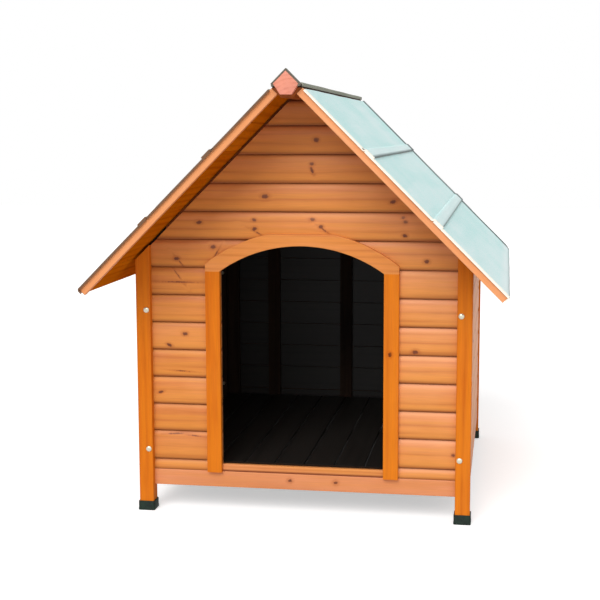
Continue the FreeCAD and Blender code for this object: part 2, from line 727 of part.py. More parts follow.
def make_hinges():
    """Two cranked butt hinges: the fixed leaf hooks over the cap, the turning one lies on the felt."""
    x, z = hinge_axis()
    u, n = axis_in_slope()
    cap_side = -(CAP_HALF_WIDTH + FELT)
    cap_top = cap_levels()[1]
    clear = HINGE_BARREL + LOOSE_GAP
    fixed = []
    turning = []
    pins = []
    for middle in hinge_middles():
        y0 = middle - HINGE_LENGTH / 2
        y1 = middle + HINGE_LENGTH / 2
        outer = cap_side - HINGE_LEAF
        leaf = box(outer, cap_side, y0, y1, z + clear, cap_top + HINGE_LEAF)
        flange = box(outer, outer + HINGE_LEAF_WIDTH, y0, y1, cap_top, cap_top + HINGE_LEAF)
        leaf = leaf.fuse(flange)
        for low, high in knuckle_spans(middle, False):
            leaf = leaf.fuse(box(outer, cap_side, low, high, z, z + clear))
            leaf = leaf.fuse(y_cylinder(x, z, HINGE_BARREL, low, high))
        leaf = leaf.cut(y_cylinder(x, z, HINGE_PIN, y0, y1))
        point = (outer + HINGE_LEAF_WIDTH / 2, cap_top)
        for hole in leaf_holes(point, Vector(0, 0, 1), middle):
            leaf = leaf.cut(hole)
        fixed.append(leaf.removeSplitter())

        plate = [(u + clear, FELT), (u + HINGE_LEAF_WIDTH, FELT)]
        plate += [(u + HINGE_LEAF_WIDTH, FELT + HINGE_LEAF), (u + clear, FELT + HINGE_LEAF)]
        leaf = slope_prism(-1, plate, y0, y1)
        for low, high in knuckle_spans(middle, True):
            arm = [(u, FELT), (u + clear, FELT), (u + clear, FELT + HINGE_LEAF)]
            arm.append((u, FELT + HINGE_LEAF))
            leaf = leaf.fuse(slope_prism(-1, arm, low, high))
            leaf = leaf.fuse(y_cylinder(x, z, HINGE_BARREL, low, high))
        leaf = leaf.cut(y_cylinder(x, z, HINGE_PIN + HINGE_RUNNING, y0, y1))
        point = slope_point(-1, u + HINGE_SCREW_REACH, FELT)
        for hole in leaf_holes(point, Vector(-math.sin(PITCH), 0, math.cos(PITCH)), middle):
            leaf = leaf.cut(hole)
        turning.append(leaf.removeSplitter())
        pins.append(y_cylinder(x, z, HINGE_PIN, y0, y1))
    save("hinge_fixed_leaves", fixed)
    save("hinge_turning_leaves", turning)
    save("hinge_pins", pins)


def make_bolts():
    """Dome-headed bolts from the posts' faces into the side panels, each with its nut run on."""
    grip = POST + SIDE_BATTEN_WIDTH
    corner = NUT_ACROSS_FLATS / 2 / math.cos(math.pi / NUT_SIDES)
    bolts = []
    for side in (-1, 1):
        for end in (-1, 1):
            inward = Vector(0, -end, 0)
            for start in bolt_starts(side, end):
                head = Part.makeCone(BOLT_HEAD, BOLT_CROWN, BOLT_HEAD_HEIGHT, start, -inward)
                shank = Part.makeCylinder(BOLT_SHANK, grip, start, inward)
                points = []
                for turn in range(NUT_SIDES):
                    angle = 2 * math.pi * turn / NUT_SIDES
                    offset = Vector(corner * math.cos(angle), 0, corner * math.sin(angle))
                    points.append(start + inward * grip + offset)
                nut = outline_face(points).extrude(inward * NUT_HEIGHT)
                bolts.append(head.fuse([shank, nut]))
    save("frame_bolts", bolts)


make_post("front_left_post", -1, -1)
make_post("front_right_post", 1, -1)
make_post("rear_left_post", -1, 1)
make_post("rear_right_post", 1, 1)
make_foot_caps()
make_rails()
make_front_boards()
save("rear_boards", end_boards(1))
make_side_boards("left_wall_boards", -1)
make_side_boards("right_wall_boards", 1)
make_trims()
make_end_framing()
make_side_framing()
make_floor()
make_ridge()
make_gable_blocks()
make_slope("left", -1)
make_slope("right", 1)
make_hinges()
make_bolts()
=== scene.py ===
"""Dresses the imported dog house: stained log-lap boards, arched door trim, felted roof, caps and bolts.

Lengths are in metres, in the frame of the solid model: +X to the right of the doorway, +Y from the doorway
to the rear wall, +Z up. Every new piece is a surface worked out with numpy on the places of the solids.
"""

import logging
import math
from collections.abc import Callable, Sequence
from dataclasses import dataclass
from enum import Enum

import bpy
import numpy as np
from mathutils import Matrix
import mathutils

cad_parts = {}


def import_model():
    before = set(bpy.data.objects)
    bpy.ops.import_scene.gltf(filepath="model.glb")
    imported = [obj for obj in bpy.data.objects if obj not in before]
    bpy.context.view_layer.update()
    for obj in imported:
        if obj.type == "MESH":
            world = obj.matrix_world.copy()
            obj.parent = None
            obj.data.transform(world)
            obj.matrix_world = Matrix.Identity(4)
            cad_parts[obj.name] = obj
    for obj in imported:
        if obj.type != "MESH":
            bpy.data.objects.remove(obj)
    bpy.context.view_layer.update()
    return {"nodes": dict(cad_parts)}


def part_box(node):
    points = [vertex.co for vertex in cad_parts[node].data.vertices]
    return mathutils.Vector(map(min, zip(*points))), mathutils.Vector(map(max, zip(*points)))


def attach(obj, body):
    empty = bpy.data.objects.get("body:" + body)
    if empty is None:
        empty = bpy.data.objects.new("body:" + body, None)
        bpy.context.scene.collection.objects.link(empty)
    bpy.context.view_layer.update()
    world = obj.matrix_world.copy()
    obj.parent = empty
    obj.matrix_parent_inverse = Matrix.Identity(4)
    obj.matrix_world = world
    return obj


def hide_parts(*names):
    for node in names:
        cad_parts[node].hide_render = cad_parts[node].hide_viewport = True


LOG = logging.getLogger("dog_house")
MM = 0.001
ROOT = math.sqrt(0.5)
QUARTER = math.pi / 2
ORIGIN, RIGHT, BACK, UP = (0.0, 0.0, 0.0), (1.0, 0.0, 0.0), (0.0, 1.0, 0.0), (0.0, 0.0, 1.0)
POSTS = ("front_left_post", "front_right_post", "rear_left_post", "rear_right_post")
Array = np.ndarray
Pair = tuple[float, float]
Vector = tuple[float, float, float]
Colour = tuple[float, float, float, float]
Limit = Callable[[Array], Array]
Socket = bpy.types.NodeSocket


def srgb(red: int, green: int, blue: int) -> Colour:
    """Return Blender's linear colour for one as seen on a screen, with parts from 0 to 255."""
    parts = np.array([red, green, blue]) / 255.0
    linear = np.where(parts <= 0.04045, parts / 12.92, ((parts + 0.055) / 1.055) ** 2.4)
    return (*linear.tolist(), 1.0)


# ---------------------------------------------------------------------------------------------
# Node trees
# ---------------------------------------------------------------------------------------------


class Graph:
    """Fills one node tree, with short calls for nodes, values and links."""

    def __init__(self, tree: bpy.types.NodeTree) -> None:
        """Work on a tree that already exists."""
        self.tree = tree

    def feed(self, socket: Socket, value: object) -> None:
        """Link a socket to an output, or set its own value."""
        if isinstance(value, Socket):
            self.tree.links.new(value, socket)
        else:
            socket.default_value = value

    def node(self, kind: str, settings: dict | None = None, inputs: dict | None = None) -> bpy.types.Node:
        """Add a node.

        Args:
            kind: Blender's name for the type of node.
            settings: Properties of the node.
            inputs: Values or outputs for its input sockets, by socket name or number.

        Returns:
            The node.
        """
        node = self.tree.nodes.new(kind)
        for key, value in (settings or {}).items():
            setattr(node, key, value)
        for key, value in (inputs or {}).items():
            self.feed(node.inputs[key], value)
        return node

    def math(self, operation: str, *values: object) -> Socket:
        """Return the result of a sum on one to three values."""
        return self.node("ShaderNodeMath", {"operation": operation}, dict(enumerate(values))).outputs[0]

    def vector(self, operation: str, *values: object) -> Socket:
        """Return the vector result of a sum on vectors, or the number where it is a length."""
        found = self.node("ShaderNodeVectorMath", {"operation": operation}, dict(enumerate(values)))
        return found.outputs["Value" if operation == "LENGTH" else "Vector"]

    def mix(self, share: object, one: object, two: object, blend: str = "MIX") -> Socket:
        """Return a colour between two colours."""
        settings = {"data_type": "RGBA", "blend_type": blend}
        return self.node("ShaderNodeMix", settings, {0: share, 6: one, 7: two}).outputs[2]

    def layers(self, colour: Socket, layers: Sequence[tuple[Socket, float, object]]) -> Socket:
        """Lay colours over a colour, one after another.

        Args:
            colour: The colour below.
            layers: The mask, its strength and the colour of each layer.

        Returns:
            The colour on top.
        """
        for mask, strength, over in layers:
            colour = self.mix(self.math("MULTIPLY", mask, strength), colour, over)
        return colour

    def step(self, value: object, low: float, high: float) -> Socket:
        """Return 0 below low and 1 above high, with a smooth turn between them."""
        inputs = {"Value": value, "From Min": low, "From Max": high}
        return self.node("ShaderNodeMapRange", {"interpolation_type": "SMOOTHSTEP"}, inputs).outputs["Result"]

    def noise(self, at: object, scale: object = 1.0, detail: float = 2.0) -> Socket:
        """Return a soft noise around 0.5."""
        return self.node("ShaderNodeTexNoise", None, {"Vector": at, "Scale": scale, "Detail": detail}).outputs[0]

    def stretched(self, at: object, scales: Vector, detail: float) -> Socket:
        """Return a noise with its own scale along each axis."""
        return self.noise(self.vector("MULTIPLY", at, scales), 1.0, detail)

    def mark(self, name: str, output: str = "Fac") -> Socket:
        """Return a value that the mesh carries."""
        return self.node("ShaderNodeAttribute", {"attribute_name": name}).outputs[output]

    def shade(self, colour: object, factor: object) -> Socket:
        """Return a colour times a number."""
        grey = self.node("ShaderNodeCombineColor", None, {0: factor, 1: factor, 2: factor}).outputs[0]
        return self.mix(1.0, colour, grey, "MULTIPLY")

    def bump(self, shader: bpy.types.Node, height: Socket, strength: float, distance: float) -> None:
        """Let a height roughen a shader's normal."""
        inputs = {"Height": height, "Strength": strength, "Distance": distance}
        self.feed(shader.inputs["Normal"], self.node("ShaderNodeBump", None, inputs).outputs[0])

    def give(self, result: bpy.types.Node, **values: Socket) -> bpy.types.NodeTree:
        """Link values to a group's outputs by their names, and return the group."""
        for name, value in values.items():
            self.feed(result.inputs[name], value)
        return self.tree


def open_group(
    name: str, inputs: dict[str, float | Vector], outputs: Sequence[str]
) -> tuple[Graph, bpy.types.bpy_prop_collection, bpy.types.Node]:
    """Start a shader node group with named sockets.

    Args:
        name: The group's name.
        inputs: The default of each input, a number or a vector of three.
        outputs: The names of the outputs, which are all numbers.

    Returns:
        The group's graph, what it is given, and its output node.
    """
    tree = bpy.data.node_groups.new(name, "ShaderNodeTree")
    for label, default in inputs.items():
        kind = "NodeSocketVector" if isinstance(default, tuple) else "NodeSocketFloat"
        tree.interface.new_socket(label, in_out="INPUT", socket_type=kind).default_value = default
    for label in outputs:
        tree.interface.new_socket(label, in_out="OUTPUT", socket_type="NodeSocketFloat")
    graph = Graph(tree)
    return graph, graph.node("NodeGroupInput").outputs, graph.node("NodeGroupOutput")


class Effects:
    """The effects that several finishes share, each one node group, built once."""

    def __init__(self) -> None:
        """Build all groups."""
        self.grain, self.knots = self._grain(), self._knots()
        self.patches, self.grit = self._patches(), self._grit()

    @staticmethod
    def use(graph: Graph, group: bpy.types.NodeTree, inputs: dict) -> bpy.types.bpy_prop_collection:
        """Place a group in a graph, and return its outputs."""
        return graph.node("ShaderNodeGroup", {"node_tree": group}, inputs).outputs

    def _grain(self) -> bpy.types.NodeTree:
        """Build the grain of sawn softwood: year rings round a wandering pith, and fine fibres.

        At is (along, across, depth) in the piece. The distance from a pith line behind the piece, plus a
        slow noise stretched along it, is cut into rings that darken towards the late wood.
        """
        sockets = {"At": ORIGIN, "Rings": 160.0, "Wander": 0.02}
        graph, given, result = open_group("SoftwoodGrain", sockets, ("Line", "Streak", "Fibre", "Height"))
        at = given["At"]
        slow = graph.math("SUBTRACT", graph.stretched(at, (1.6, 9.0, 9.0), 2.0), 0.5)
        flat = graph.vector("MULTIPLY", at, (0.0, 1.0, 1.0))
        radius = graph.vector("LENGTH", graph.vector("ADD", flat, (0.0, 0.013, 0.035)))
        drifted = graph.math("ADD", radius, graph.math("MULTIPLY", slow, given["Wander"]))
        ring = graph.math("PINGPONG", graph.math("MULTIPLY", drifted, given["Rings"]), 1.0)
        uneven = graph.step(graph.stretched(at, (3.0, 70.0, 70.0), 1.0), 0.3, 0.62)
        line = graph.math("MULTIPLY", graph.math("POWER", ring, 2.2), uneven)
        streak = graph.step(graph.stretched(at, (4.5, 85.0, 85.0), 3.0), 0.36, 0.66)
        fibre = graph.stretched(at, (18.0, 620.0, 620.0), 3.0)
        height = graph.math("ADD", graph.math("MULTIPLY", line, 0.5), graph.math("MULTIPLY", fibre, 0.5))
        return graph.give(result, Line=line, Streak=streak, Fibre=fibre, Height=height)

    def _knots(self) -> bpy.types.NodeTree:
        """Build a knot's marks from the distance to its middle, where 1 is its rim, made uneven by noise."""
        sockets = {"At": ORIGIN, "Distance": 3.0}
        graph, given, result = open_group("KnotMarks", sockets, ("Core", "Rim", "Halo"))
        rough = graph.math("SUBTRACT", graph.noise(given["At"], 260.0, 2.0), 0.5)
        far = graph.math("MULTIPLY_ADD", rough, 1.1, given["Distance"])
        rim = graph.math("MULTIPLY", graph.step(far, 0.45, 0.8), graph.step(far, 1.25, 0.95))
        return graph.give(result, Core=graph.step(far, 1.0, 0.5), Rim=rim, Halo=graph.step(far, 2.8, 0.8))

    def _patches(self) -> bpy.types.NodeTree:
        """Build large soft patches, as an uneven coat of stain or dust leaves them."""
        graph, given, result = open_group("StainPatches", {"At": ORIGIN, "Scale": 8.0}, ("Value",))
        return graph.give(result, Value=graph.step(graph.noise(given["At"], given["Scale"], 3.0), 0.3, 0.7))

    def _grit(self) -> bpy.types.NodeTree:
        """Build mineral granules: cells of their own tone, rounded up to their middles."""
        sockets = {"At": ORIGIN, "Scale": 700.0}
        graph, given, result = open_group("MineralGrit", sockets, ("Tone", "Fleck", "Height"))
        inputs = {"Vector": given["At"], "Scale": given["Scale"]}
        cells = graph.node("ShaderNodeTexVoronoi", {"feature": "F1"}, inputs).outputs
        parts = graph.node("ShaderNodeSeparateColor", None, {0: cells["Color"]}).outputs
        height = graph.math("SUBTRACT", 1.0, cells["Distance"])
        return graph.give(result, Tone=parts[0], Fleck=graph.step(parts[1], 0.86, 0.92), Height=height)


# ---------------------------------------------------------------------------------------------
# Finishes
# ---------------------------------------------------------------------------------------------

# The second colour is painted shade: inner faces, floor and framing are near-black where the inside falls dark.
KNOT_BROWN, INSIDE_SHADE = srgb(84, 32, 10), srgb(27, 23, 20)
# The first colour is a painted highlight for the boards' rounded tops, the second painted shade for joints.
ROSY_HIGHLIGHT, SHADED = srgb(244, 172, 130), srgb(122, 54, 14)


class Run(Enum):
    """Where a wood's grain comes from: the piece's own marks, or the way that a solid runs."""

    MARKED = None
    ALONG_X = (0.0, 0.0, 0.0)
    ALONG_Y = (0.0, 0.0, -90.0)
    ALONG_Z = (0.0, 90.0, 0.0)
    DOWN_LEFT = (0.0, -45.0, 0.0)
    DOWN_RIGHT = (0.0, 45.0, 0.0)

    def place(self, graph: Graph) -> Socket:
        """Return places in the grain: along, across and into the depth."""
        if self is Run.MARKED:
            return graph.mark("grain_at", "Vector")
        inputs = {"Vector": graph.node("ShaderNodeTexCoord").outputs["Object"]}
        inputs["Rotation"] = tuple(math.radians(angle) for angle in self.value)
        return graph.node("ShaderNodeMapping", None, inputs).outputs[0]


class Finish:
    """What all finishes share: an empty material with one Principled BSDF, which each one then paints."""

    def make(self, effects: Effects) -> bpy.types.Material:
        """Build the material.

        Args:
            effects: The shared node groups.

        Returns:
            The material.
        """
        material = bpy.data.materials.new(self.name)
        material.use_nodes = True
        material.node_tree.nodes.clear()
        graph = Graph(material.node_tree)
        shader = graph.node("ShaderNodeBsdfPrincipled")
        graph.node("ShaderNodeOutputMaterial", None, {"Surface": shader.outputs["BSDF"]})
        self.paint(graph, shader, effects)
        return material

    def paint(self, graph: Graph, shader: bpy.types.Node, effects: Effects) -> None:
        """Feed the shader's sockets, in each finish's own way."""
        raise NotImplementedError


@dataclass(frozen=True)
class WoodFinish(Finish):
    """Stained softwood. The rings, fibres, knots and stain patches vary colour, gloss and height."""

    name: str
    pale: Colour
    deep: Colour
    sap: Colour
    late: Colour
    run: Run = Run.MARKED
    rings: float = 95.0
    contrast: float = 0.42
    roughness: float = 0.5
    gloss: float = 0.35

    def paint(self, graph: Graph, shader: bpy.types.Node, effects: Effects) -> None:
        """Mix deep and pale stain by tone and patches; lay sap, late wood, knots, painted highlights and shade.
        """
        at = self.run.place(graph)
        grain = effects.use(graph, effects.grain, {"At": at, "Rings": self.rings, "Wander": 0.02})
        line, fibre = grain["Line"], grain["Fibre"]
        patch = effects.use(graph, effects.patches, {"At": at, "Scale": 7.0})["Value"]
        tone = graph.math("MULTIPLY_ADD", patch, 0.3, graph.math("MULTIPLY", graph.mark("tone"), 0.7))
        golden = graph.math("MULTIPLY", grain["Streak"], 0.55)
        if self.run is Run.MARKED:
            # belly: painted shade, each board's lower face deeper gold than its lit top.
            golden = graph.math("MAXIMUM", golden, graph.math("MULTIPLY", graph.mark("belly"), 0.75))
        colour = graph.mix(golden, graph.mix(tone, self.deep, self.pale), self.sap)
        colour = graph.layers(colour, [(line, self.contrast, self.late)])
        colour = graph.shade(colour, graph.math("MULTIPLY_ADD", fibre, 0.3, 0.85))
        if self.run is Run.MARKED:
            knot = effects.use(graph, effects.knots, {"At": at, "Distance": graph.mark("knot")})
            uneven = graph.math("MULTIPLY_ADD", fibre, 1.1, 0.5)
            uneven = graph.math("SUBTRACT", uneven, graph.math("MULTIPLY", line, 0.45))
            colour = graph.layers(colour, [
                (knot["Halo"], 0.45, self.late), (knot["Rim"], 0.7, KNOT_BROWN), (knot["Core"], 0.9, KNOT_BROWN),
                # Painted highlights: pale on eased arrises, rosy on the rounded tops of boards.
                (graph.mark("arris"), 0.35, self.pale), (graph.mark("crown"), 0.6, ROSY_HIGHLIGHT),
                # groove: painted shade in the joints between boards.
                (graph.mark("groove"), 0.75, SHADED),
                # inner: painted dark shade of the inside, streaked by the grain.
                (graph.mark("inner"), 1.0, graph.shade(INSIDE_SHADE, uneven)),
            ])
        graph.feed(shader.inputs["Base Color"], colour)
        shader.inputs["Specular IOR Level"].default_value = self.gloss
        graph.feed(shader.inputs["Roughness"], graph.math("MULTIPLY_ADD", fibre, 0.16, self.roughness - 0.08))
        graph.bump(shader, grain["Height"], 0.3, 0.4 * MM)


@dataclass(frozen=True)
class FeltFinish(Finish):
    """Roofing felt: mineral granules on bitumen, painted lap shadows, a dark rear strip and a painted lip
    highlight.
    """

    name: str
    granule: Colour
    shadow: Colour
    fleck: Colour
    edge: Colour
    under: Colour
    bitumen: Colour = (0.03, 0.042, 0.042, 1.0)
    scale: float = 620.0
    roughness: float = 0.85

    def paint(self, graph: Graph, shader: bpy.types.Node, effects: Effects) -> None:
        """Mix shadow and granule by grit, patches and streaks, then lay flecks, laps, painted shadow and
        highlight.
        """
        at = graph.node("ShaderNodeTexCoord").outputs["Object"]
        grit = effects.use(graph, effects.grit, {"At": at, "Scale": self.scale})
        patch = effects.use(graph, effects.patches, {"At": at, "Scale": 5.0})["Value"]
        streak = graph.step(graph.stretched(at, (14.0, 1.5, 14.0), 3.0), 0.42, 0.62)
        tone = graph.math("MULTIPLY_ADD", grit["Tone"], 0.5, graph.math("MULTIPLY", patch, 0.25))
        tone = graph.math("ADD", tone, graph.math("MULTIPLY", streak, 0.25))
        colour = graph.layers(graph.mix(tone, self.shadow, self.granule), [
            (grit["Fleck"], 0.6, self.fleck), (graph.mark("lap"), 0.45, self.fleck),
            # Painted shadow in bitumen colour along each course's lower edge, and a dark strip at the rear.
            (graph.mark("worn"), 0.9, self.bitumen), (graph.mark("edge"), 1.0, self.edge),
            (graph.mark("inner"), 1.0, self.under),
        ])
        graph.feed(shader.inputs["Base Color"], colour)
        graph.feed(shader.inputs["Roughness"], graph.math("MULTIPLY_ADD", tone, 0.1, self.roughness - 0.08))
        graph.bump(shader, grit["Height"], 0.5, 0.5 * MM)


@dataclass(frozen=True)
class SmoothFinish(Finish):
    """Moulded plastic or plated metal: fine mottling in colour, gloss and height."""

    name: str
    colour: Colour
    second: Colour
    metallic: float = 0.0
    roughness: float = 0.5
    mottle: float = 900.0
    relief: float = 0.1
    gloss: float = 0.5

    def paint(self, graph: Graph, shader: bpy.types.Node, effects: Effects) -> None:
        """Mix the two colours and vary the gloss by grit and patches."""
        at = graph.node("ShaderNodeTexCoord").outputs["Object"]
        grit = effects.use(graph, effects.grit, {"At": at, "Scale": self.mottle})
        patch = effects.use(graph, effects.patches, {"At": at, "Scale": 60.0})["Value"]
        share = graph.math("MULTIPLY_ADD", grit["Tone"], 0.4, graph.math("MULTIPLY", patch, 0.5))
        graph.feed(shader.inputs["Base Color"], graph.mix(share, self.colour, self.second))
        shader.inputs["Metallic"].default_value = self.metallic
        shader.inputs["Specular IOR Level"].default_value = self.gloss
        graph.feed(shader.inputs["Roughness"], graph.math("MULTIPLY_ADD", share, 0.18, self.roughness - 0.08))
        graph.bump(shader, grit["Height"], self.relief, 0.2 * MM)


BOARD_WOOD = WoodFinish(
    "BoardWood", srgb(228, 150, 90), srgb(194, 108, 40), srgb(214, 138, 46), srgb(158, 70, 18)
)
POST_WOOD = WoodFinish(
    "PostWood", srgb(218, 124, 32), srgb(198, 98, 6), srgb(216, 120, 16), srgb(164, 66, 4), rings=150.0,
    roughness=0.6, gloss=0.12,
)
HEAD_WOOD = WoodFinish(
    "HeadWood", srgb(224, 146, 82), srgb(202, 120, 46), srgb(214, 134, 56), srgb(164, 76, 20), rings=120.0,
    contrast=0.4, gloss=0.25,
)
RAIL_WOOD = WoodFinish(
    "RailWood", srgb(218, 142, 96), srgb(194, 114, 62), srgb(208, 132, 72), srgb(158, 76, 32), rings=120.0
)
RAKE_WOOD = WoodFinish(
    "RakeWood", srgb(240, 168, 116), srgb(216, 134, 76), srgb(232, 150, 88), srgb(184, 98, 46), rings=150.0,
    contrast=0.4,
)
ROOF_WOOD = WoodFinish(
    "RoofWood", srgb(204, 118, 18), srgb(172, 82, 0), srgb(194, 108, 6), srgb(126, 48, 0), gloss=0.0
)
END_GRAIN_WOOD = WoodFinish(
    "EndGrainWood", srgb(232, 154, 132), srgb(212, 128, 104), srgb(228, 144, 116), srgb(180, 92, 66),
    rings=220.0, contrast=0.4, roughness=0.6,
)
# The fourth colour, edge, is a painted highlight for the right slope's front lip.
ROOF_FELT = FeltFinish(
    "RoofFelt", srgb(238, 255, 255), srgb(192, 240, 237), srgb(248, 255, 255), srgb(246, 240, 226),
    srgb(112, 80, 56),
)
# The ridge's felt: the roof's felt painted a darker olive-grey, painted shade for a ridge seen edge-on.
SHADED_RIDGE_FELT = FeltFinish(
    "ShadedRidgeFelt", srgb(168, 170, 154), srgb(112, 114, 98), srgb(190, 190, 174), srgb(96, 84, 66),
    srgb(70, 52, 42),
)
FOOT_PLASTIC = SmoothFinish("FootPlastic", srgb(10, 18, 17), srgb(32, 50, 40), mottle=500.0, gloss=0.15)
ZINC = SmoothFinish("ZincPlate", srgb(184, 178, 158), srgb(216, 210, 192), metallic=0.75, roughness=0.36)


def inner_wood(run: Run) -> WoodFinish:
    """Return the painted dark shade of the hidden framing, for one direction of the grain."""
    deep, pale, late = srgb(38, 27, 21), srgb(56, 39, 28), srgb(24, 16, 13)
    return WoodFinish("InnerWood" + run.name.title(), pale, deep, pale, late, run, roughness=0.7, gloss=0.1)


def roof_frame_wood(run: Run) -> WoodFinish:
    """Return the stain of the roof's framing, for one direction of the grain."""
    deep, pale, sap, late = srgb(140, 68, 20), srgb(172, 94, 34), srgb(160, 84, 26), srgb(104, 44, 10)
    return WoodFinish("RoofFrame" + run.name.title(), pale, deep, sap, late, run, gloss=0.2)


# ---------------------------------------------------------------------------------------------
# Meshes
# ---------------------------------------------------------------------------------------------


@dataclass(frozen=True)
class Knot:
    """A knot or crack in a face: its place along and across the piece, half sizes, turn and faintness."""

    along: float
    across: float
    wide: float = 7 * MM
    high: float = 5 * MM
    turn: float = 0.0
    faint: float = 0.0

    def distance(self, along: Array, across: Array) -> Array:
        """Return how far points are from its middle, where 1 is its rim."""
        ahead, up = along - self.along, across - self.across
        sine, cosine = math.sin(self.turn), math.cos(self.turn)
        far = np.hypot((ahead * cosine + up * sine) / self.wide, (up * cosine - ahead * sine) / self.high)
        return far + self.faint


@dataclass(frozen=True)
class Axes:
    """A piece's own directions in the house: along it, across its face, and into its depth."""

    origin: Vector
    along: Vector
    across: Vector
    depth: Vector

    def place(self, along: Array, across: Array, depth: Array) -> Array:
        """Return points of the house from coordinates of the piece."""
        spread = np.stack(np.broadcast_arrays(along, across, depth), axis=-1)
        return np.array(self.origin) + spread @ np.array([self.along, self.across, self.depth])


UPRIGHT = Axes(ORIGIN, UP, RIGHT, BACK)
LENGTHWISE = Axes(ORIGIN, BACK, RIGHT, UP)


class Shell:
    """One mesh gathered from closed tubes of points, with a value at each point for each mark."""

    # Of these, arris and crown carry painted highlights, and groove, belly and inner on wood painted shade. On
    # felt, edge is a painted highlight, and the mark after it a painted shadow with a dark rear strip.
    MARKS = {"tone": 0.5, "knot": 3.0, "arris": 0.0, "crown": 0.0, "belly": 0.0, "groove": 0.0, "inner": 0.0,
             "edge": 0.0, "worn": 0.0, "lap": 0.0}
    SHARP = math.radians(32)

    def __init__(self, name: str) -> None:
        """Start an empty mesh."""
        self.name = name
        self.points: list[Array] = []
        self.grain: list[Array] = []
        self.marks: dict[str, list[Array]] = {mark: [] for mark in self.MARKS}
        self.faces: list[list[int]] = []
        self.count = 0

    def add(
        self, tube: Array, grain: Array | None = None, ring: bool = False, fold: bool = False, **marks: object
    ) -> None:
        """Add a closed tube.

        The grid's second axis closes on itself. Its first axis ends in two flat caps, or also closes on
        itself for a ring. The faces are turned so that the volume inside, the sum of the tetrahedra from
        the middle to each face, is positive.

        Args:
            tube: Points, with the shape (stations, around, 3).
            grain: Coordinates of the grain at each point, with the same shape.
            ring: Whether the stations close on themselves.
            fold: Whether each cap is a strip between the outline's first half and its second, turned back.
            marks: A number or an array (stations, around) for any of MARKS.
        """
        rows, around = tube.shape[:2]
        index = np.arange(rows * around).reshape(rows, around)
        here, ahead = (index, np.roll(index, -1, axis=0)) if ring else (index[:-1], index[1:])
        corners = [here, ahead, np.roll(ahead, -1, axis=1), np.roll(here, -1, axis=1)]
        quads = np.stack(corners, axis=-1).reshape(-1, 4)
        flat = tube.reshape(-1, 3)
        out = flat - flat.mean(axis=0)
        a, b, c, d = (out[quads[:, corner]] for corner in range(4))
        volume = np.einsum("ij,ij->", a, np.cross(b, c) + np.cross(c, d))
        rims = [] if ring else [index[0], index[-1][::-1]]
        for rim in rims:
            area = np.cross(out[rim], np.roll(out[rim], -1, axis=0)).sum(axis=0)
            volume += float(out[rim].mean(axis=0) @ area)
        step = -1 if volume < 0 else 1
        self.faces.extend((quads[:, ::step] + self.count).tolist())
        half = around // 2
        for rim in rims:
            other = rim[::-1]
            strip = np.stack([rim[:half - 1], rim[1:half], other[1:half], other[:half - 1]], axis=-1)
            caps = strip if fold else rim[None]
            self.faces.extend((caps[:, ::step] + self.count).tolist())
        self.points.append(flat)
        self.grain.append((tube if grain is None else grain).reshape(-1, 3))
        for mark, usual in self.MARKS.items():
            value = np.broadcast_to(marks.get(mark, usual), (rows, around))
            self.marks[mark].append(value.reshape(-1).astype(float))
        self.count += rows * around

    def settle(self, material: bpy.types.Material, body: str, slot: str, *nodes: str) -> None:
        """Turn the gathered points into an object that rides on a body.

        Args:
            material: Its finish.
            body: The body that it moves with.
            slot: The name of a slot for its finish; not used.
            nodes: The solids that it stands for.
        """
        mesh = bpy.data.meshes.new(self.name)
        mesh.from_pydata(np.concatenate(self.points).tolist(), [], self.faces)
        for mark, values in self.marks.items():
            mesh.attributes.new(mark, "FLOAT", "POINT").data.foreach_set("value", np.concatenate(values))
        layer = mesh.attributes.new("grain_at", "FLOAT_VECTOR", "POINT")
        layer.data.foreach_set("vector", np.concatenate(self.grain).ravel())
        mesh.shade_smooth()
        mesh.set_sharp_from_angle(angle=self.SHARP)
        mesh.materials.append(material)
        piece = bpy.data.objects.new(self.name, mesh)
        bpy.context.scene.collection.objects.link(piece)
        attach(piece, body)
        if nodes:
            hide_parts(*nodes)
        LOG.info("%s: %d points, rides on %s, stands for %s", self.name, self.count, body, nodes or "none")


def stations(length: float, spacing: float) -> Array:
    """Return even shares from 0 to 1 for a length, about a spacing apart."""
    return np.linspace(0.0, 1.0, max(2, int(round(length / spacing)) + 1))


def at(value: float) -> Limit:
    """Return a square cut at one place along, whatever the place across."""
    return lambda across: np.full(np.shape(across), value)


def eased_rectangle(low: Pair, high: Pair, ease: float, spacing: float) -> tuple[Array, Array]:
    """Work out a rectangle with quarter circles at its corners.

    Each side is cut into even steps between the ends of its quarter circles, and each quarter circle has
    four points at radius ease.

    Args:
        low: The lowest across and depth.
        high: The highest across and depth.
        ease: The radius of the corners.
        spacing: The steps along the sides.

    Returns:
        The points (n, 2), and a mark that is 1 on the corners.
    """
    centres = np.array([(high[0] - ease, low[1] + ease), (high[0] - ease, high[1] - ease),
                        (low[0] + ease, high[1] - ease), (low[0] + ease, low[1] + ease)])
    points, marks = [], []
    for turn, centre in enumerate(centres):
        angles = QUARTER * (turn - 1) + np.linspace(0.0, QUARTER, 4)
        arc = centre + ease * np.stack([np.cos(angles), np.sin(angles)], axis=-1)
        side = centres[(turn + 1) % 4] - centre
        shares = stations(float(np.linalg.norm(side)), spacing)[1:-1]
        points += [arc, arc[-1] + shares[:, None] * side]
        marks += [np.array([0.4, 1.0, 1.0, 0.4]), np.zeros(len(shares))]
    return np.concatenate(points), np.concatenate(marks)


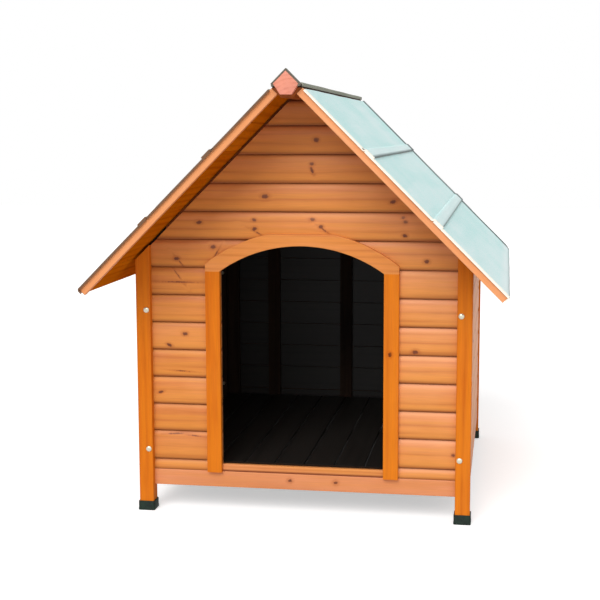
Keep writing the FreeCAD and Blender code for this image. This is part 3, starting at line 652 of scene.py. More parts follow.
class Timber:
    """Gives each piece of wood its own stretch of grain, its tone and its knots."""

    BEND, REACH = 0.6, 2.4
    JOINT_SHADE_HEIGHT = 5.5 * MM

    def __init__(self, seed: int) -> None:
        """Start a repeatable stock of timber."""
        self.random = np.random.default_rng(seed)

    def tone(self, low: float, high: float) -> float:
        """Return a random tone."""
        return float(self.random.uniform(low, high))

    def grain(
        self, along: Array, across: Array, depth: Array, knots: Sequence[Knot] = ()
    ) -> tuple[Array, Array]:
        """Work out grain coordinates and knots.

        The piece lies at a random place of a log. Near a knot the coordinate across is drawn towards the
        knot's middle line by a bell curve, so that the rings bend round it. The knot mark is the least
        distance to any knot, as a share of its half sizes.

        Args:
            along: Places along the piece, in metres, as are across and depth.
            knots: The piece's knots.

        Returns:
            The grain coordinates, and the knot mark.
        """
        offset = self.random.uniform((-5.0, -0.06, 0.01), (5.0, 0.06, 0.05))
        near = np.full(np.shape(along), Shell.MARKS["knot"])
        bent = np.array(across, dtype=float)
        for knot in knots:
            far = knot.distance(along, across)
            bent -= self.BEND * (across - knot.across) * np.exp(-((far / self.REACH) ** 2))
            near = np.minimum(near, far)
        return np.stack([along + offset[0], bent + offset[1], depth + offset[2]], axis=-1), near

    def scatter(self, first: float, length: float, low: float, width: float, rate: float = 3.0) -> list[Knot]:
        """Put knots at random places of a board.

        Args:
            first: Where the board starts along.
            length: Its length.
            low: Its lower edge.
            width: Its height.
            rate: The knots for each metre.

        Returns:
            The knots.
        """
        knots = []
        for _ in range(self.random.poisson(rate * length)):
            size = self.random.uniform(3.0, 6.5) * MM
            along, across = self.random.uniform((0.0, 0.1 * width), (length, 0.9 * width))
            knots.append(Knot(float(along) + first, float(across) + low, size * 1.4, size))
        return knots

    def beam(
        self, shell: Shell, axes: Axes, low: Pair, high: Pair, start: Limit, stop: Limit, tone: float,
        ease: float = 1.5 * MM, knots: Sequence[Knot] = (), spacing: float = 5 * MM, inner: float = 0.0,
        joint: bool = False,
    ) -> None:
        """Add a planed beam: an eased rectangle carried straight along, between two cuts.

        Args:
            shell: The mesh that it joins.
            axes: Its directions.
            low: Its lowest across and depth.
            high: Its highest across and depth.
            start: Where it starts along, for places across.
            stop: Where it stops along, for places across.
            tone: From 0, deep, to 1, pale.
            ease: The radius of its arrises.
            knots: Its knots.
            spacing: The steps of the mesh.
            inner: 1 where it is painted the dark shade of the inside.
            joint: Whether painted shade darkens its lower front edge, in place of the painted arris highlight.
        """
        section, arris = eased_rectangle(low, high, ease, spacing)
        begin, end = start(section[:, 0]), stop(section[:, 0])
        along = begin + (end - begin) * stations(float(np.max(end - begin)), spacing)[:, None]
        across, depth = (np.broadcast_to(section[:, part], along.shape) for part in (0, 1))
        grain, knot = self.grain(along, across, depth, knots)
        # Painted shade along the lower front edge, where the joint falls dark.
        groove = 1.35 * np.exp(-(((across - low[0]) / self.JOINT_SHADE_HEIGHT) ** 4)) * joint
        # arris: painted highlight on the eased arrises, left off where a joint is painted dark.
        marks = {"tone": tone, "knot": knot, "arris": arris * (not joint), "groove": groove, "inner": inner}
        shell.add(axes.place(along, across, depth), grain, **marks)


# ---------------------------------------------------------------------------------------------
# The house
# ---------------------------------------------------------------------------------------------


@dataclass
class Plan:
    """The places that the pieces share, read from the solids."""

    ridge_seat: float = 34 * MM
    wall_gap: float = 29 * MM
    pitch: float = 66.6 * MM
    tongue: float = 6 * MM
    rail_sink: float = 4.5 * MM
    rail_drop: float = 5.5 * MM

    def __post_init__(self) -> None:
        """Read the solids' boxes."""
        low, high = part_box("front_right_post")
        self.post_in, self.front = low[0], low[1]
        self.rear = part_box("rear_right_post")[1][1]
        low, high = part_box("front_sill_board")
        self.wall_front, self.first_joint = low[1], high[2] - self.tongue
        self.wall_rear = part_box("rear_boards")[1][1]
        self.side_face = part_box("right_wall_boards")[1][0]
        low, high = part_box("front_rail")
        self.rail_foot, self.rail_top = low[2] - self.rail_sink, high[2]
        self.sill_foot = self.rail_top - self.rail_drop
        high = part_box("right_rakes")[1]
        self.apex, self.roof_end, self.eave = high[2] + self.ridge_seat, high[1], high[0]

    def wall_top(self, x: Array) -> Array:
        """Return the height of the cut along the roof, where walls and posts stop."""
        return self.apex - self.wall_gap - np.abs(x)

    def reach(self, z: Array) -> Array:
        """Return how far an end wall reaches to the right at a height: to the post, or to the roof."""
        return np.minimum(self.post_in, self.wall_top(0.0) - z)

    def reach_left(self, z: Array) -> Array:
        """Return how far an end wall reaches to the left at a height."""
        return -self.reach(z)


@dataclass
class House:
    """What every sub-assembly needs: the plan, the timber and the finishes, each made once."""

    def __init__(self) -> None:
        """Read the plan, and start with the shared effects and no finish."""
        self.plan, self.timber, self.effects = Plan(), Timber(7), Effects()
        self.made: dict[str, bpy.types.Material] = {}

    def material(self, finish: Finish) -> bpy.types.Material:
        """Return the material of a finish."""
        if finish.name not in self.made:
            self.made[finish.name] = finish.make(self.effects)
        return self.made[finish.name]


@dataclass
class Face:
    """A wall that is being boarded: its mesh, its directions and the steps of its mesh."""

    shell: Shell
    axes: Axes
    step: float


@dataclass
class WallBoards:
    """The log-lap boards of the four walls, each with a rounded upper edge and a tongue behind it."""

    house: House
    thick: float = 12 * MM
    round_height: float = 16 * MM
    round_depth: float = 6 * MM
    tongue_thick: float = 4.5 * MM
    play: float = 0.4 * MM
    step: float = 2.5 * MM
    hidden_step: float = 5 * MM
    # Strength of the painted light that makes the boards brighter towards the right.
    light_lean: float = 0.22
    door_half: float = 195 * MM
    door_low: float = 118.5 * MM
    first_drop: float = 4 * MM
    door_rise: float = 62.1 * MM
    beam_low: float = 987.3 * MM
    knot_scale: float = 1.25 * MM
    crack_length: float = 10.0
    crack_faintness: float = 0.45
    left_tones: tuple[float, ...] = (0.55, 0.3, 0.62, 0.5, 0.72, 0.38, 0.3)
    right_tones: tuple[float, ...] = (0.5, 0.6, 0.45, 0.75, 0.6, 0.85, 0.9)
    gable_tones: tuple[float, ...] = (0.42, 0.35, 0.5, 0.3, 0.42, 0.25)
    knots: tuple[tuple[float, float, float, float, float], ...] = (
        (35, 897, 4.6, 3.6, 0), (25, 842, 4, 2.6, 0), (25, 827, 2.4, 6, 25), (-86, 766, 6, 4, 0),
        (-246, 704, 5, 3, 0), (-113, 711, 4, 2.6, 0), (-112, 690, 4, 3, 0), (-104, 680, 16, 1.8, -28),
        (26, 713, 4.4, 2.8, 0), (46, 696, 4, 3, 0), (54, 688, 14, 1.8, -35), (214, 755, 5, 3, 20),
        (238, 719, 3.4, 2.4, 0), (243, 709, 3.6, 2.6, 0), (242, 677, 4, 3, 0), (-302, 617, 5, 3, 0),
        (-292, 607, 15, 1.7, -50), (-212, 646, 4.6, 3.2, 0), (-204, 632, 13, 1.8, 60), (-190, 618, 16, 1.7, -55),
        (293, 618, 4.6, 3, 0), (-296, 561, 52, 1.7, 0), (-301, 580, 20, 1.6, -54), (-284, 436, 4.6, 3, 0),
        (-323, 408, 5, 2.6, -20), (-346, 292, 5, 2.2, 15), (268, 405, 5, 3.4, 0), (359, 162, 3, 2.6, 0),
        (-310, 190, 26, 1.8, 4), (-262, 186, 20, 1.6, -5), (320, 330, 22, 1.5, 3), (-290, 345, 24, 1.5, -3),
    )

    def __post_init__(self) -> None:
        """Work out the circle of the doorway's head."""
        self.arch_radius = (self.door_half**2 + self.door_rise**2) / (2 * self.door_rise)
        self.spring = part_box("door_trim_left")[1][2]
        self.arch_middle = self.spring + self.door_rise - self.arch_radius

    def arch_half(self, z: Array) -> Array:
        """Return half the doorway's width at a height: straight, then along the circle of its head."""
        circle = np.sqrt(np.maximum(self.arch_radius**2 - (z - self.arch_middle) ** 2, 0.0))
        return np.where(z <= self.spring, self.door_half, circle)

    def arch_left(self, z: Array) -> Array:
        """Return the doorway's left edge at a height."""
        return -self.arch_half(z)

    def arch_height(self, x: Array) -> Array:
        """Return the height of the doorway's head at a distance from the middle, or 0 beside it."""
        circle = self.arch_middle + np.sqrt(np.maximum(self.arch_radius**2 - x**2, 0.0))
        return np.where(np.abs(x) < self.door_half, circle, 0.0)

    def section(self, low: Array, height: float, seated: bool, tongue: bool, step: float) -> tuple[Array, Array]:
        """Work out a board's section at each station.

        The face is straight up to the shoulder, then follows a circle that sinks back to round_depth at
        the top. The back has the tongue above and the rebate for the tongue of the board below.

        Args:
            low: How much of the board is cut away from below, at each station.
            height: The board's height.
            seated: Whether its bottom is flat, as on the lowest board.
            tongue: Whether it has a tongue.
            step: The steps up its face.

        Returns:
            Levels over the board's bottom, and depths behind its face, with the shape (stations, around).
        """
        plan = self.house.plan
        foot = low[:, None] if seated else np.maximum(low[:, None], self.play)
        shoulder = np.maximum(height - self.round_height, foot + 4 * MM)
        shares = np.linspace(0.0, 1.0, max(3, int((height - self.round_height) / step) + 2))
        eased, sink = np.array([[0.0, 0.5, 1.1, 1.9], [1.3, 0.5, 0.15, 0.0]]) * MM
        belly = np.concatenate([foot + eased, foot + 3 * MM + (shoulder - foot - 3 * MM) * shares], axis=1)
        crown = shoulder + (height - shoulder) * np.linspace(0.0, 1.0, 10)[1:]
        radius = (self.round_height**2 + self.round_depth**2) / (2 * self.round_depth)
        rise = np.clip(crown - (height - self.round_height), 0.0, self.round_height)
        top = height + (plan.tongue if tongue else 0.2 * MM)
        ends = np.array([height, top]) + 0 * foot
        face = np.concatenate([belly, crown, ends], axis=1)
        land = self.thick - self.tongue_thick
        sunk = np.concatenate([np.concatenate([sink, 0 * shares]) + 0 * belly,
                               radius - np.sqrt(radius**2 - rise**2), land + 0 * ends], axis=1)
        rebate = -MM if seated else plan.tongue + self.play
        back = np.where(face > rebate, self.thick, land - self.play)
        return np.concatenate([face, face[:, ::-1]], axis=1), np.concatenate([sunk, back[:, ::-1]], axis=1)

    def board(
        self, face: Face, bottom: float, height: float, start: Limit, stop: Limit, tone: float,
        knots: Sequence[Knot] = (), low: Limit | None = None, seated: bool = False, tongue: bool = True,
    ) -> None:
        """Add one board.

        Args:
            face: The wall.
            bottom: The height of its lower edge.
            height: Its own height.
            start: Where it starts along, for heights.
            stop: Where it stops along, for heights.
            tone: From 0, deep, to 1, pale.
            knots: Its knots, across being the height.
            low: The height that it is cut to from below, for places along.
            seated: Whether its bottom is flat.
            tongue: Whether it has a tongue.
        """
        first, last = (float(limit(np.array(bottom))) for limit in (start, stop))
        share = stations(last - first, face.step)
        cut = np.zeros(len(share))
        if low is not None:
            cut = np.maximum(low(first + (last - first) * share) - bottom, 0.0)
        level, depth = self.section(cut, height, seated, tongue, face.step)
        z = bottom + level
        along = start(z) + (stop(z) - start(z)) * share[:, None]
        grain, knot = self.house.timber.grain(along, z, depth, knots)
        below = (level - np.min(level, axis=1, keepdims=True)) / (5.5 * MM)
        above = (height - level) / (3.5 * MM)
        rise = np.clip(level / height, 0.0, 1.0)
        # Painted light: the tone, and the painted highlight on the tops, grow towards the right.
        light_lean = along / self.house.plan.post_in
        marks = {
            "tone": tone + self.light_lean * light_lean,
            "knot": knot,
            # inner: the back, and the sunk land at the top in the joint, painted the dark shade of the inside.
            "inner": np.clip((depth - 6.5 * MM) / MM, 0.0, 1.0),
            # groove: painted shade at the board's lower and upper edges, in the joints.
            "groove": np.minimum(np.exp(-(below**2)) + np.exp(-(above**2)), 1.0),
            # crown: painted highlight on the rounded top of each board, stronger towards the right.
            "crown": rise**3 * (0.58 + 0.48 * light_lean),
            # belly: painted shade, deeper gold towards the board's lower edge.
            "belly": (1 - rise) ** 1.5,
        }
        face.shell.add(face.axes.place(along, z, depth), grain, fold=True, **marks)

    def sill(self, face: Face, start: Limit, stop: Limit, tone: float) -> None:
        """Add the narrow lowest board."""
        foot = self.house.plan.sill_foot
        height = self.house.plan.first_joint - self.first_drop - foot
        self.board(face, foot, height, start, stop, tone, seated=True)

    def rows(self, top: float) -> list[Pair]:
        """Return the bottom and height of each full row, up to a height. The first reaches further down."""
        first, pitch = self.house.plan.first_joint, self.house.plan.pitch
        rows = [(first + pitch * row, pitch) for row in range(int(math.ceil((top - first) / pitch)))]
        return [(first - self.first_drop, pitch + self.first_drop), *rows[1:]]

    def front(self) -> None:
        """Build the front wall: the sill, the boards beside the doorway, the arched one and the gable."""
        house, plan = self.house, self.house.plan
        axes = Axes((0.0, plan.wall_front, 0.0), RIGHT, UP, BACK)
        names = ("sill_board", "gable_boards", "arch_board", "left_jamb_boards", "right_jamb_boards")
        sill, gable, arch, left, right = faces = [Face(Shell(name), axes, self.step) for name in names]
        knots = [Knot(x * MM, z * MM, wide * self.knot_scale, high * self.knot_scale, math.radians(turn),
                      self.crack_faintness * (wide > self.crack_length)) for x, z, wide, high, turn in self.knots]
        ends = at(-self.door_half), at(self.door_half)
        self.sill(sill, plan.reach_left, ends[0], 0.7)
        self.sill(sill, ends[1], plan.reach, 0.7)
        # The sill strip takes painted shade along its lower edge.
        house.timber.beam(sill.shell, axes, (plan.sill_foot, 0.0), (self.door_low, self.thick), *ends, 0.9,
                          1.6 * MM, (), self.step, joint=True)
        for row, (bottom, height) in enumerate(self.rows(self.beam_low)):
            height = min(height, self.beam_low - bottom)
            here = [knot for knot in knots if bottom < knot.across < bottom + plan.pitch]
            if self.arch_half(np.array([bottom + height]))[0] > 0:
                tones = self.left_tones[row % 7], self.right_tones[row % 7]
                self.board(left, bottom, height, plan.reach_left, self.arch_left, tones[0], here)
                self.board(right, bottom, height, self.arch_half, plan.reach, tones[1], here)
            elif bottom < self.spring + self.door_rise:
                self.board(arch, bottom, height, plan.reach_left, plan.reach, 0.5, here, self.arch_height)
            else:
                self.board(gable, bottom, height, plan.reach_left, plan.reach, self.gable_tones[row % 6], here,
                           tongue=height >= plan.pitch)
        nodes = ("front_sill_board", "front_gable_boards", "front_arch_board", "front_boards_left",
                 "front_boards_right")
        for face, node in zip(faces, nodes):
            face.shell.settle(house.material(BOARD_WOOD), "house", "board_wood", node)

    def rear(self) -> None:
        """Build the rear wall, which has no opening."""
        house, plan = self.house, self.house.plan
        axes = Axes((0.0, plan.wall_rear, 0.0), RIGHT, UP, (0.0, -1.0, 0.0))
        face = Face(Shell("rear_wall_boards"), axes, self.hidden_step)
        self.sill(face, plan.reach_left, plan.reach, 0.5)
        for bottom, height in self.rows(self.beam_low):
            height = min(height, self.beam_low - bottom)
            knots = house.timber.scatter(-plan.post_in, 2 * plan.post_in, bottom, plan.pitch)
            self.board(face, bottom, height, plan.reach_left, plan.reach, house.timber.tone(0.3, 0.8), knots,
                       tongue=height >= plan.pitch)
        face.shell.settle(house.material(BOARD_WOOD), "house", "board_wood", "rear_boards")

    def side(self, side: int, name: str) -> None:
        """Build the boards of the left (side -1) or right (side 1) wall."""
        house, plan = self.house, self.house.plan
        low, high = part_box(name)
        axes = Axes((side * plan.side_face, 0.0, 0.0), BACK, UP, (-float(side), 0.0, 0.0))
        start, stop = at(low[1]), at(high[1])
        face = Face(Shell(name.replace("wall", "side")), axes, self.hidden_step)
        self.sill(face, start, stop, 0.5)
        top = plan.apex - plan.wall_gap - plan.side_face
        for bottom, height in self.rows(top):
            tone = house.timber.tone(0.35, 0.9)
            if bottom + height < top:
                knots = house.timber.scatter(low[1], high[1] - low[1], bottom, plan.pitch)
                self.board(face, bottom, height, start, stop, tone, knots)
            else:
                self.top_strip(face, bottom, top, low[1], high[1], tone)
        face.shell.settle(house.material(BOARD_WOOD), "house", "board_wood", name)

    def top_strip(self, face: Face, bottom: float, top: float, start: float, stop: float, tone: float) -> None:
        """Add a side wall's top board, which is bevelled to the roof's slope and has no rounded edge.

        Args:
            face: The wall.
            bottom: The height of its lower edge.
            top: The height of its face's upper edge.
            start: Where it starts along.
            stop: Where it stops along.
            tone: From 0, deep, to 1, pale.
        """
        heel = self.thick - self.tongue_thick - self.play
        foot, rebate = bottom + self.play, bottom + self.house.plan.tongue + self.play
        outline = np.array([(foot, 0.0), (top, 0.0), (top + self.thick, self.thick), (rebate, self.thick),
                            (rebate, heel), (foot, heel)])
        along = start + (stop - start) * stations(stop - start, 20 * MM)[:, None] + 0 * outline[:, 0]
        across, depth = (np.broadcast_to(outline[:, part], along.shape) for part in (0, 1))
        grain, _ = self.house.timber.grain(along, across, depth)
        # The back half is painted the dark shade of the inside.
        inner = np.where(depth > self.thick / 2, 1.0, 0.0)
        face.shell.add(face.axes.place(along, across, depth), grain, tone=tone, inner=inner)

    def build(self) -> None:
        """Build all four walls."""
        self.front()
        self.rear()
        self.side(-1, "left_wall_boards")
        self.side(1, "right_wall_boards")


@dataclass
class PostsAndRails:
    """The corner posts, cut along the roof, and the bottom rails between them."""

    house: House
    foot_floor: float = 4 * MM
    tones: tuple[float, ...] = (0.3, 0.55, 0.4, 0.5)

    def build(self) -> None:
        """Build four posts and four rails."""
        house, plan = self.house, self.house.plan
        for name, tone in zip(POSTS, self.tones):
            low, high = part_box(name)
            post = Shell("post_" + name.removesuffix("_post"))
            knots = [Knot(412 * MM, float(low[0]) + 20 * MM, 5 * MM, 4 * MM)] if "rear" in name else ()
            house.timber.beam(post, UPRIGHT, low[:2], high[:2], at(self.foot_floor), plan.wall_top, tone,
                              2 * MM, knots)
            post.settle(house.material(POST_WOOD), "house", "post_wood", name)
        for name in ("front_rail", "rear_rail", "left_rail", "right_rail"):
            low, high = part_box(name)
            front = name == "front_rail"
            along, deep = (0, 1) if front or name == "rear_rail" else (1, 0)
            axes = Axes(ORIGIN, (RIGHT, BACK)[along], UP, (RIGHT, BACK)[deep])
            knots = [Knot(x * MM, 84 * MM, 6 * MM, 5 * MM, 0.0, 0.25) for x in (-30, 81)] if front else ()
            rail = Shell("rail_" + name.removesuffix("_rail"))
            house.timber.beam(rail, axes, (plan.rail_foot, low[deep]), (plan.sill_foot, high[deep]),
                              at(low[along]), at(high[along]), 0.8, knots=knots)
            rail.settle(house.material(RAIL_WOOD), "house", "board_wood", name)


@dataclass
class DoorTrim:
    """The frame round the doorway: two planed sides and a head sawn from one plank."""

    house: House
    walls: WallBoards
    width: float = 35.6 * MM
    top_cut: float = 8.3 * MM
    ease: float = 1.8 * MM

    def sides(self) -> None:
        """Build the two side trims."""
        for name, tone in (("door_trim_left", 0.25), ("door_trim_right", 0.75)):
            low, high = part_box(name)
            knots = [Knot(400 * MM, 210 * MM, 5 * MM, 4 * MM)] if name.endswith("right") else ()
            trim = Shell(name.replace("door_trim", "trim"))
            self.house.timber.beam(trim, UPRIGHT, low[:2], high[:2], at(low[2]), at(high[2]), tone, self.ease,
                                   knots, 4 * MM)
            trim.settle(self.house.material(POST_WOOD), "house", "post_wood", name)

    def outline(self, share: Array) -> tuple[Array, Array]:
        """Work out the inner and outer edges of the head.

        The inner edge is the doorway's circle. The outer edge goes up from the joint, along a circle one
        trim's width outside it, and flat where the plank's edge cuts that circle. Both are walked by
        length from the left joint to the right one.

        Args:
            share: Shares of the walk, from 0 to 1.

        Returns:
            The inner and the outer points, as (x, z).
        """
        walls = self.walls
        turn = math.asin(walls.door_half / walls.arch_radius) * (2 * share - 1)
        inner = walls.arch_radius * np.stack([np.sin(turn), np.cos(turn)], axis=-1)
        big, edge = walls.arch_radius + self.width, walls.door_half + self.width
        sweep = np.linspace(-math.asin(edge / big), math.asin(edge / big), 241)
        arc = np.stack([big * np.sin(sweep), np.minimum(big * np.cos(sweep), big - self.top_cut)], axis=-1)
        joint = walls.spring - walls.arch_middle
        outer = np.concatenate([[(-edge, joint)], arc, [(edge, joint)]])
        walk = path_length(outer)
        outer = np.stack([np.interp(share, walk / walk[-1], outer[:, part]) for part in (0, 1)], axis=-1)
        lift = np.array([0.0, walls.arch_middle])
        return inner + lift, outer + lift

    def head(self) -> None:
        """Build the arched head: rulings from the inner to the outer edge, with eased front arrises."""
        low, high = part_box("door_trim_head")
        thick = high[1] - low[1]
        inner, outer = self.outline(np.linspace(0.0, 1.0, 161))
        width = np.linalg.norm(outer - inner, axis=1)[:, None]
        bend = np.linspace(0.0, QUARTER, 4)
        inset, sink = self.ease * (1 - np.sin(bend)), self.ease * (1 - np.cos(bend))
        across = [0 * width, inset[::-1] + 0 * width, np.linspace(0.1, 0.9, 7) * width, width - inset, width]
        offset = np.concatenate(across, axis=1)
        behind = np.concatenate([[thick], sink[::-1], np.zeros(7), sink, [thick]])
        flat = inner[:, None] + offset[..., None] * ((outer - inner) / width)[:, None]
        x, z, depth = flat[..., 0], flat[..., 1], np.broadcast_to(behind, offset.shape)
        grain, knot = self.house.timber.grain(x, z, depth)
        # arris: painted highlight on the eased front arrises.
        arris = np.where((behind > 0) & (behind < thick), 1.0, 0.0)
        head = Shell("trim_head")
        axes = Axes((0.0, low[1], 0.0), RIGHT, UP, BACK)
        head.add(axes.place(x, z, depth), grain, tone=0.55, knot=knot, arris=arris)
        head.settle(self.house.material(HEAD_WOOD), "house", "post_wood", "door_trim_head")

    def build(self) -> None:
        """Build the three trims."""
        self.sides()
        self.head()


def path_length(points: Array) -> Array:
    """Return the length walked along a path up to each of its points."""
    return np.concatenate([[0.0], np.cumsum(np.linalg.norm(np.diff(points, axis=0), axis=1))])


@dataclass
class RoofSlope:
    """One roof slope: boards, rakes, and three courses of felt that lap over each other."""

    house: House
    side: int
    body: str
    rake_height: float = 18 * MM
    rake_thick: float = 16 * MM
    board_thick: float = 14 * MM
    boards: int = 7
    board_gap: float = 0.8 * MM
    felt: float = 3 * MM
    overhang: float = 6 * MM
    eave_course: float = 204 * MM
    exposure: float = 210 * MM
    lap: float = 24 * MM
    lap_step: float = 4 * MM
    fold: float = 9 * MM
    top_setback: float = 6 * MM
    bare_strip: float = 34 * MM
    hem_rise: float = 3 * MM
    wave: float = 0.22 * MM
    droop: float = 2.2 * MM

    def __post_init__(self) -> None:
        """Work out the slope's directions (down it, off it, along the house), and its joints."""
        plan = self.house.plan
        self.name = "right" if self.side > 0 else "left"
        apex, side = (0.0, 0.0, plan.apex), self.side
        down, off = (side * ROOT, 0.0, -ROOT), (side * ROOT, 0.0, ROOT)
        self.axes, self.board_axes = Axes(apex, down, off, BACK), Axes(apex, BACK, down, off)
        self.top, self.end = plan.ridge_seat / ROOT, plan.eave / ROOT
        self.low_joint = self.end - self.eave_course
        self.high_joint = self.low_joint - self.exposure

    def woodwork(self) -> None:
        """Build the roof boards, which run along the house, and the rakes, which run down the slope."""
        house, far = self.house, self.house.plan.roof_end
        inside = far - self.rake_thick
        pitch = (self.end - self.top + self.board_gap) / self.boards
        boards = Shell(self.name + "_sarking")
        for index in range(self.boards):
            first = self.top + index * pitch
            house.timber.beam(boards, self.board_axes, (first, -self.board_thick),
                              (first + pitch - self.board_gap, 0.0), at(-inside), at(inside),
                              house.timber.tone(0.1, 0.8), MM, (), 14 * MM)
        boards.settle(house.material(ROOF_WOOD), self.body, "board_wood", self.name + "_roof_boards")
        rakes = Shell(self.name + "_bargeboards")
        for near, far_edge in ((-far, -inside), (inside, far)):
            house.timber.beam(rakes, self.axes, (-self.rake_height, near), (0.0, far_edge), at(self.top),
                              at(self.end), 0.35 if self.side < 0 else 0.8)
        rakes.settle(house.material(RAKE_WOOD), self.body, "board_wood", self.name + "_rakes")

    def course(self, node: str, underside: Sequence[Pair], seed: float) -> None:
        """Build one course of felt.

        The underside's points are joined by straight runs cut into short steps, and the upper side is the
        same walk one felt's thickness off it. Along the house a few slow waves lift the sheet by up to
        half a millimetre, and past the rakes it droops with the square of the distance. Along the rear
        rake it lies over a low bead, and a strip there is painted the dark bitumen colour. Along its lower
        edge runs a painted shadow in the same colour, with a lighter band just above it.

        Args:
            node: The solid that it stands for.
            underside: Points down the slope, as (down, off).
            seed: Where its waves start.
        """
        far = self.house.plan.roof_end
        corners = np.array(underside)
        walk = path_length(corners)
        share = np.unique(np.concatenate([np.arange(0.0, walk[-1], 7 * MM), walk]))
        low = np.stack([np.interp(share, walk, corners[:, part]) for part in (0, 1)], axis=-1)
        way = np.gradient(low, axis=0)
        way /= np.linalg.norm(way, axis=1)[:, None]
        high = low + self.felt * np.stack([-way[:, 1], way[:, 0]], axis=-1)
        section = np.concatenate([high, low[::-1]])
        hem = np.linspace(far, far + self.overhang, 5)[1:]
        strip = np.linspace(far - self.bare_strip, far, 7)
        middle = np.linspace(-far, strip[0] - MM, 91)
        along = np.concatenate([-hem[::-1], middle, strip, hem])[:, None]
        down = np.broadcast_to(section[:, 0], (len(along), len(section)))
        wave = np.sin(9 * along + seed) * np.sin(31 * down + 2 * seed) + np.sin(23 * along - seed)
        past = np.maximum(np.abs(along) - far, 0.0) / self.overhang
        top = np.arange(len(section)) < len(high)
        rise = np.where(top, self.wave * (wave + 2.0) * (1 - past), 0.0) - self.droop * past**2
        hemmed = np.clip((along - strip[0]) / (8 * MM), 0.0, 1.0)
        level = np.clip((self.end - 4 * MM - down) / (10 * MM), 0.0, 1.0)
        rise = rise + np.where(top, self.hem_rise * hemmed * level * (1 - past), 0.0)
        # Past the front rake the right slope's lip, top and underside, is painted the pale edge colour: a painted
        # highlight.
        lip = np.clip(3 * past, 0.0, 1.0) + 0 * down
        front = np.where((along < 0) & (self.side > 0), lip, 0.0)
        under = np.where(top, 0.0, 1.0) * (1 - front)
        above = float(corners[:, 0].max()) - down
        lap = np.exp(-(((above - 0.5 * self.lap) / (0.6 * self.lap)) ** 4)) * top
        # Painted shadow along the course's lower edge, and a dark bitumen strip over the rear bead.
        worn = np.maximum(np.exp(-((above / (3.4 * MM)) ** 4)), hemmed > 0) * top
        sheet = Shell(node + "_sheet")
        sheet.add(self.axes.place(down, section[:, 1] + rise, along + 0 * down), None, edge=front, worn=worn,
                  lap=lap, inner=np.maximum(under, lip * (self.side < 0)))
        sheet.settle(self.house.material(ROOF_FELT), self.body, "roof_felt", node)

    def felts(self) -> None:
        """Build the three courses: each steps up over the next, and the last folds down at the eave."""
        for label, top, bottom, seed in (
            ("upper", self.top + self.top_setback, self.high_joint, 0.6),
            ("middle", self.high_joint - self.lap, self.low_joint, 2.2),
        ):
            lap = bottom - self.lap
            under = [(top, 0.0), (lap - self.lap_step, 0.0), (lap, self.felt), (bottom, self.felt)]
            self.course(f"{self.name}_felt_{label}", under, seed + self.side)
        soft = 0.2 * MM
        under = [(self.low_joint - self.lap, 0.0), (self.end - soft, 0.0), (self.end, -soft),
                 (self.end, -self.fold)]
        self.course(f"{self.name}_felt_lower", under, 4.0 + self.side)

    def build(self) -> None:
        """Build the slope."""
        self.woodwork()
        self.felts()


def walked(corners: Sequence[Pair], steps: int) -> Array:
    """Return a closed outline as points, with the same number of even steps on each side."""
    closed = np.array([*corners, corners[0]])
    walk = np.linspace(0.0, len(corners), len(corners) * steps + 1)[:-1]
    return np.stack([np.interp(walk, np.arange(len(closed)), closed[:, part]) for part in (0, 1)], axis=-1)


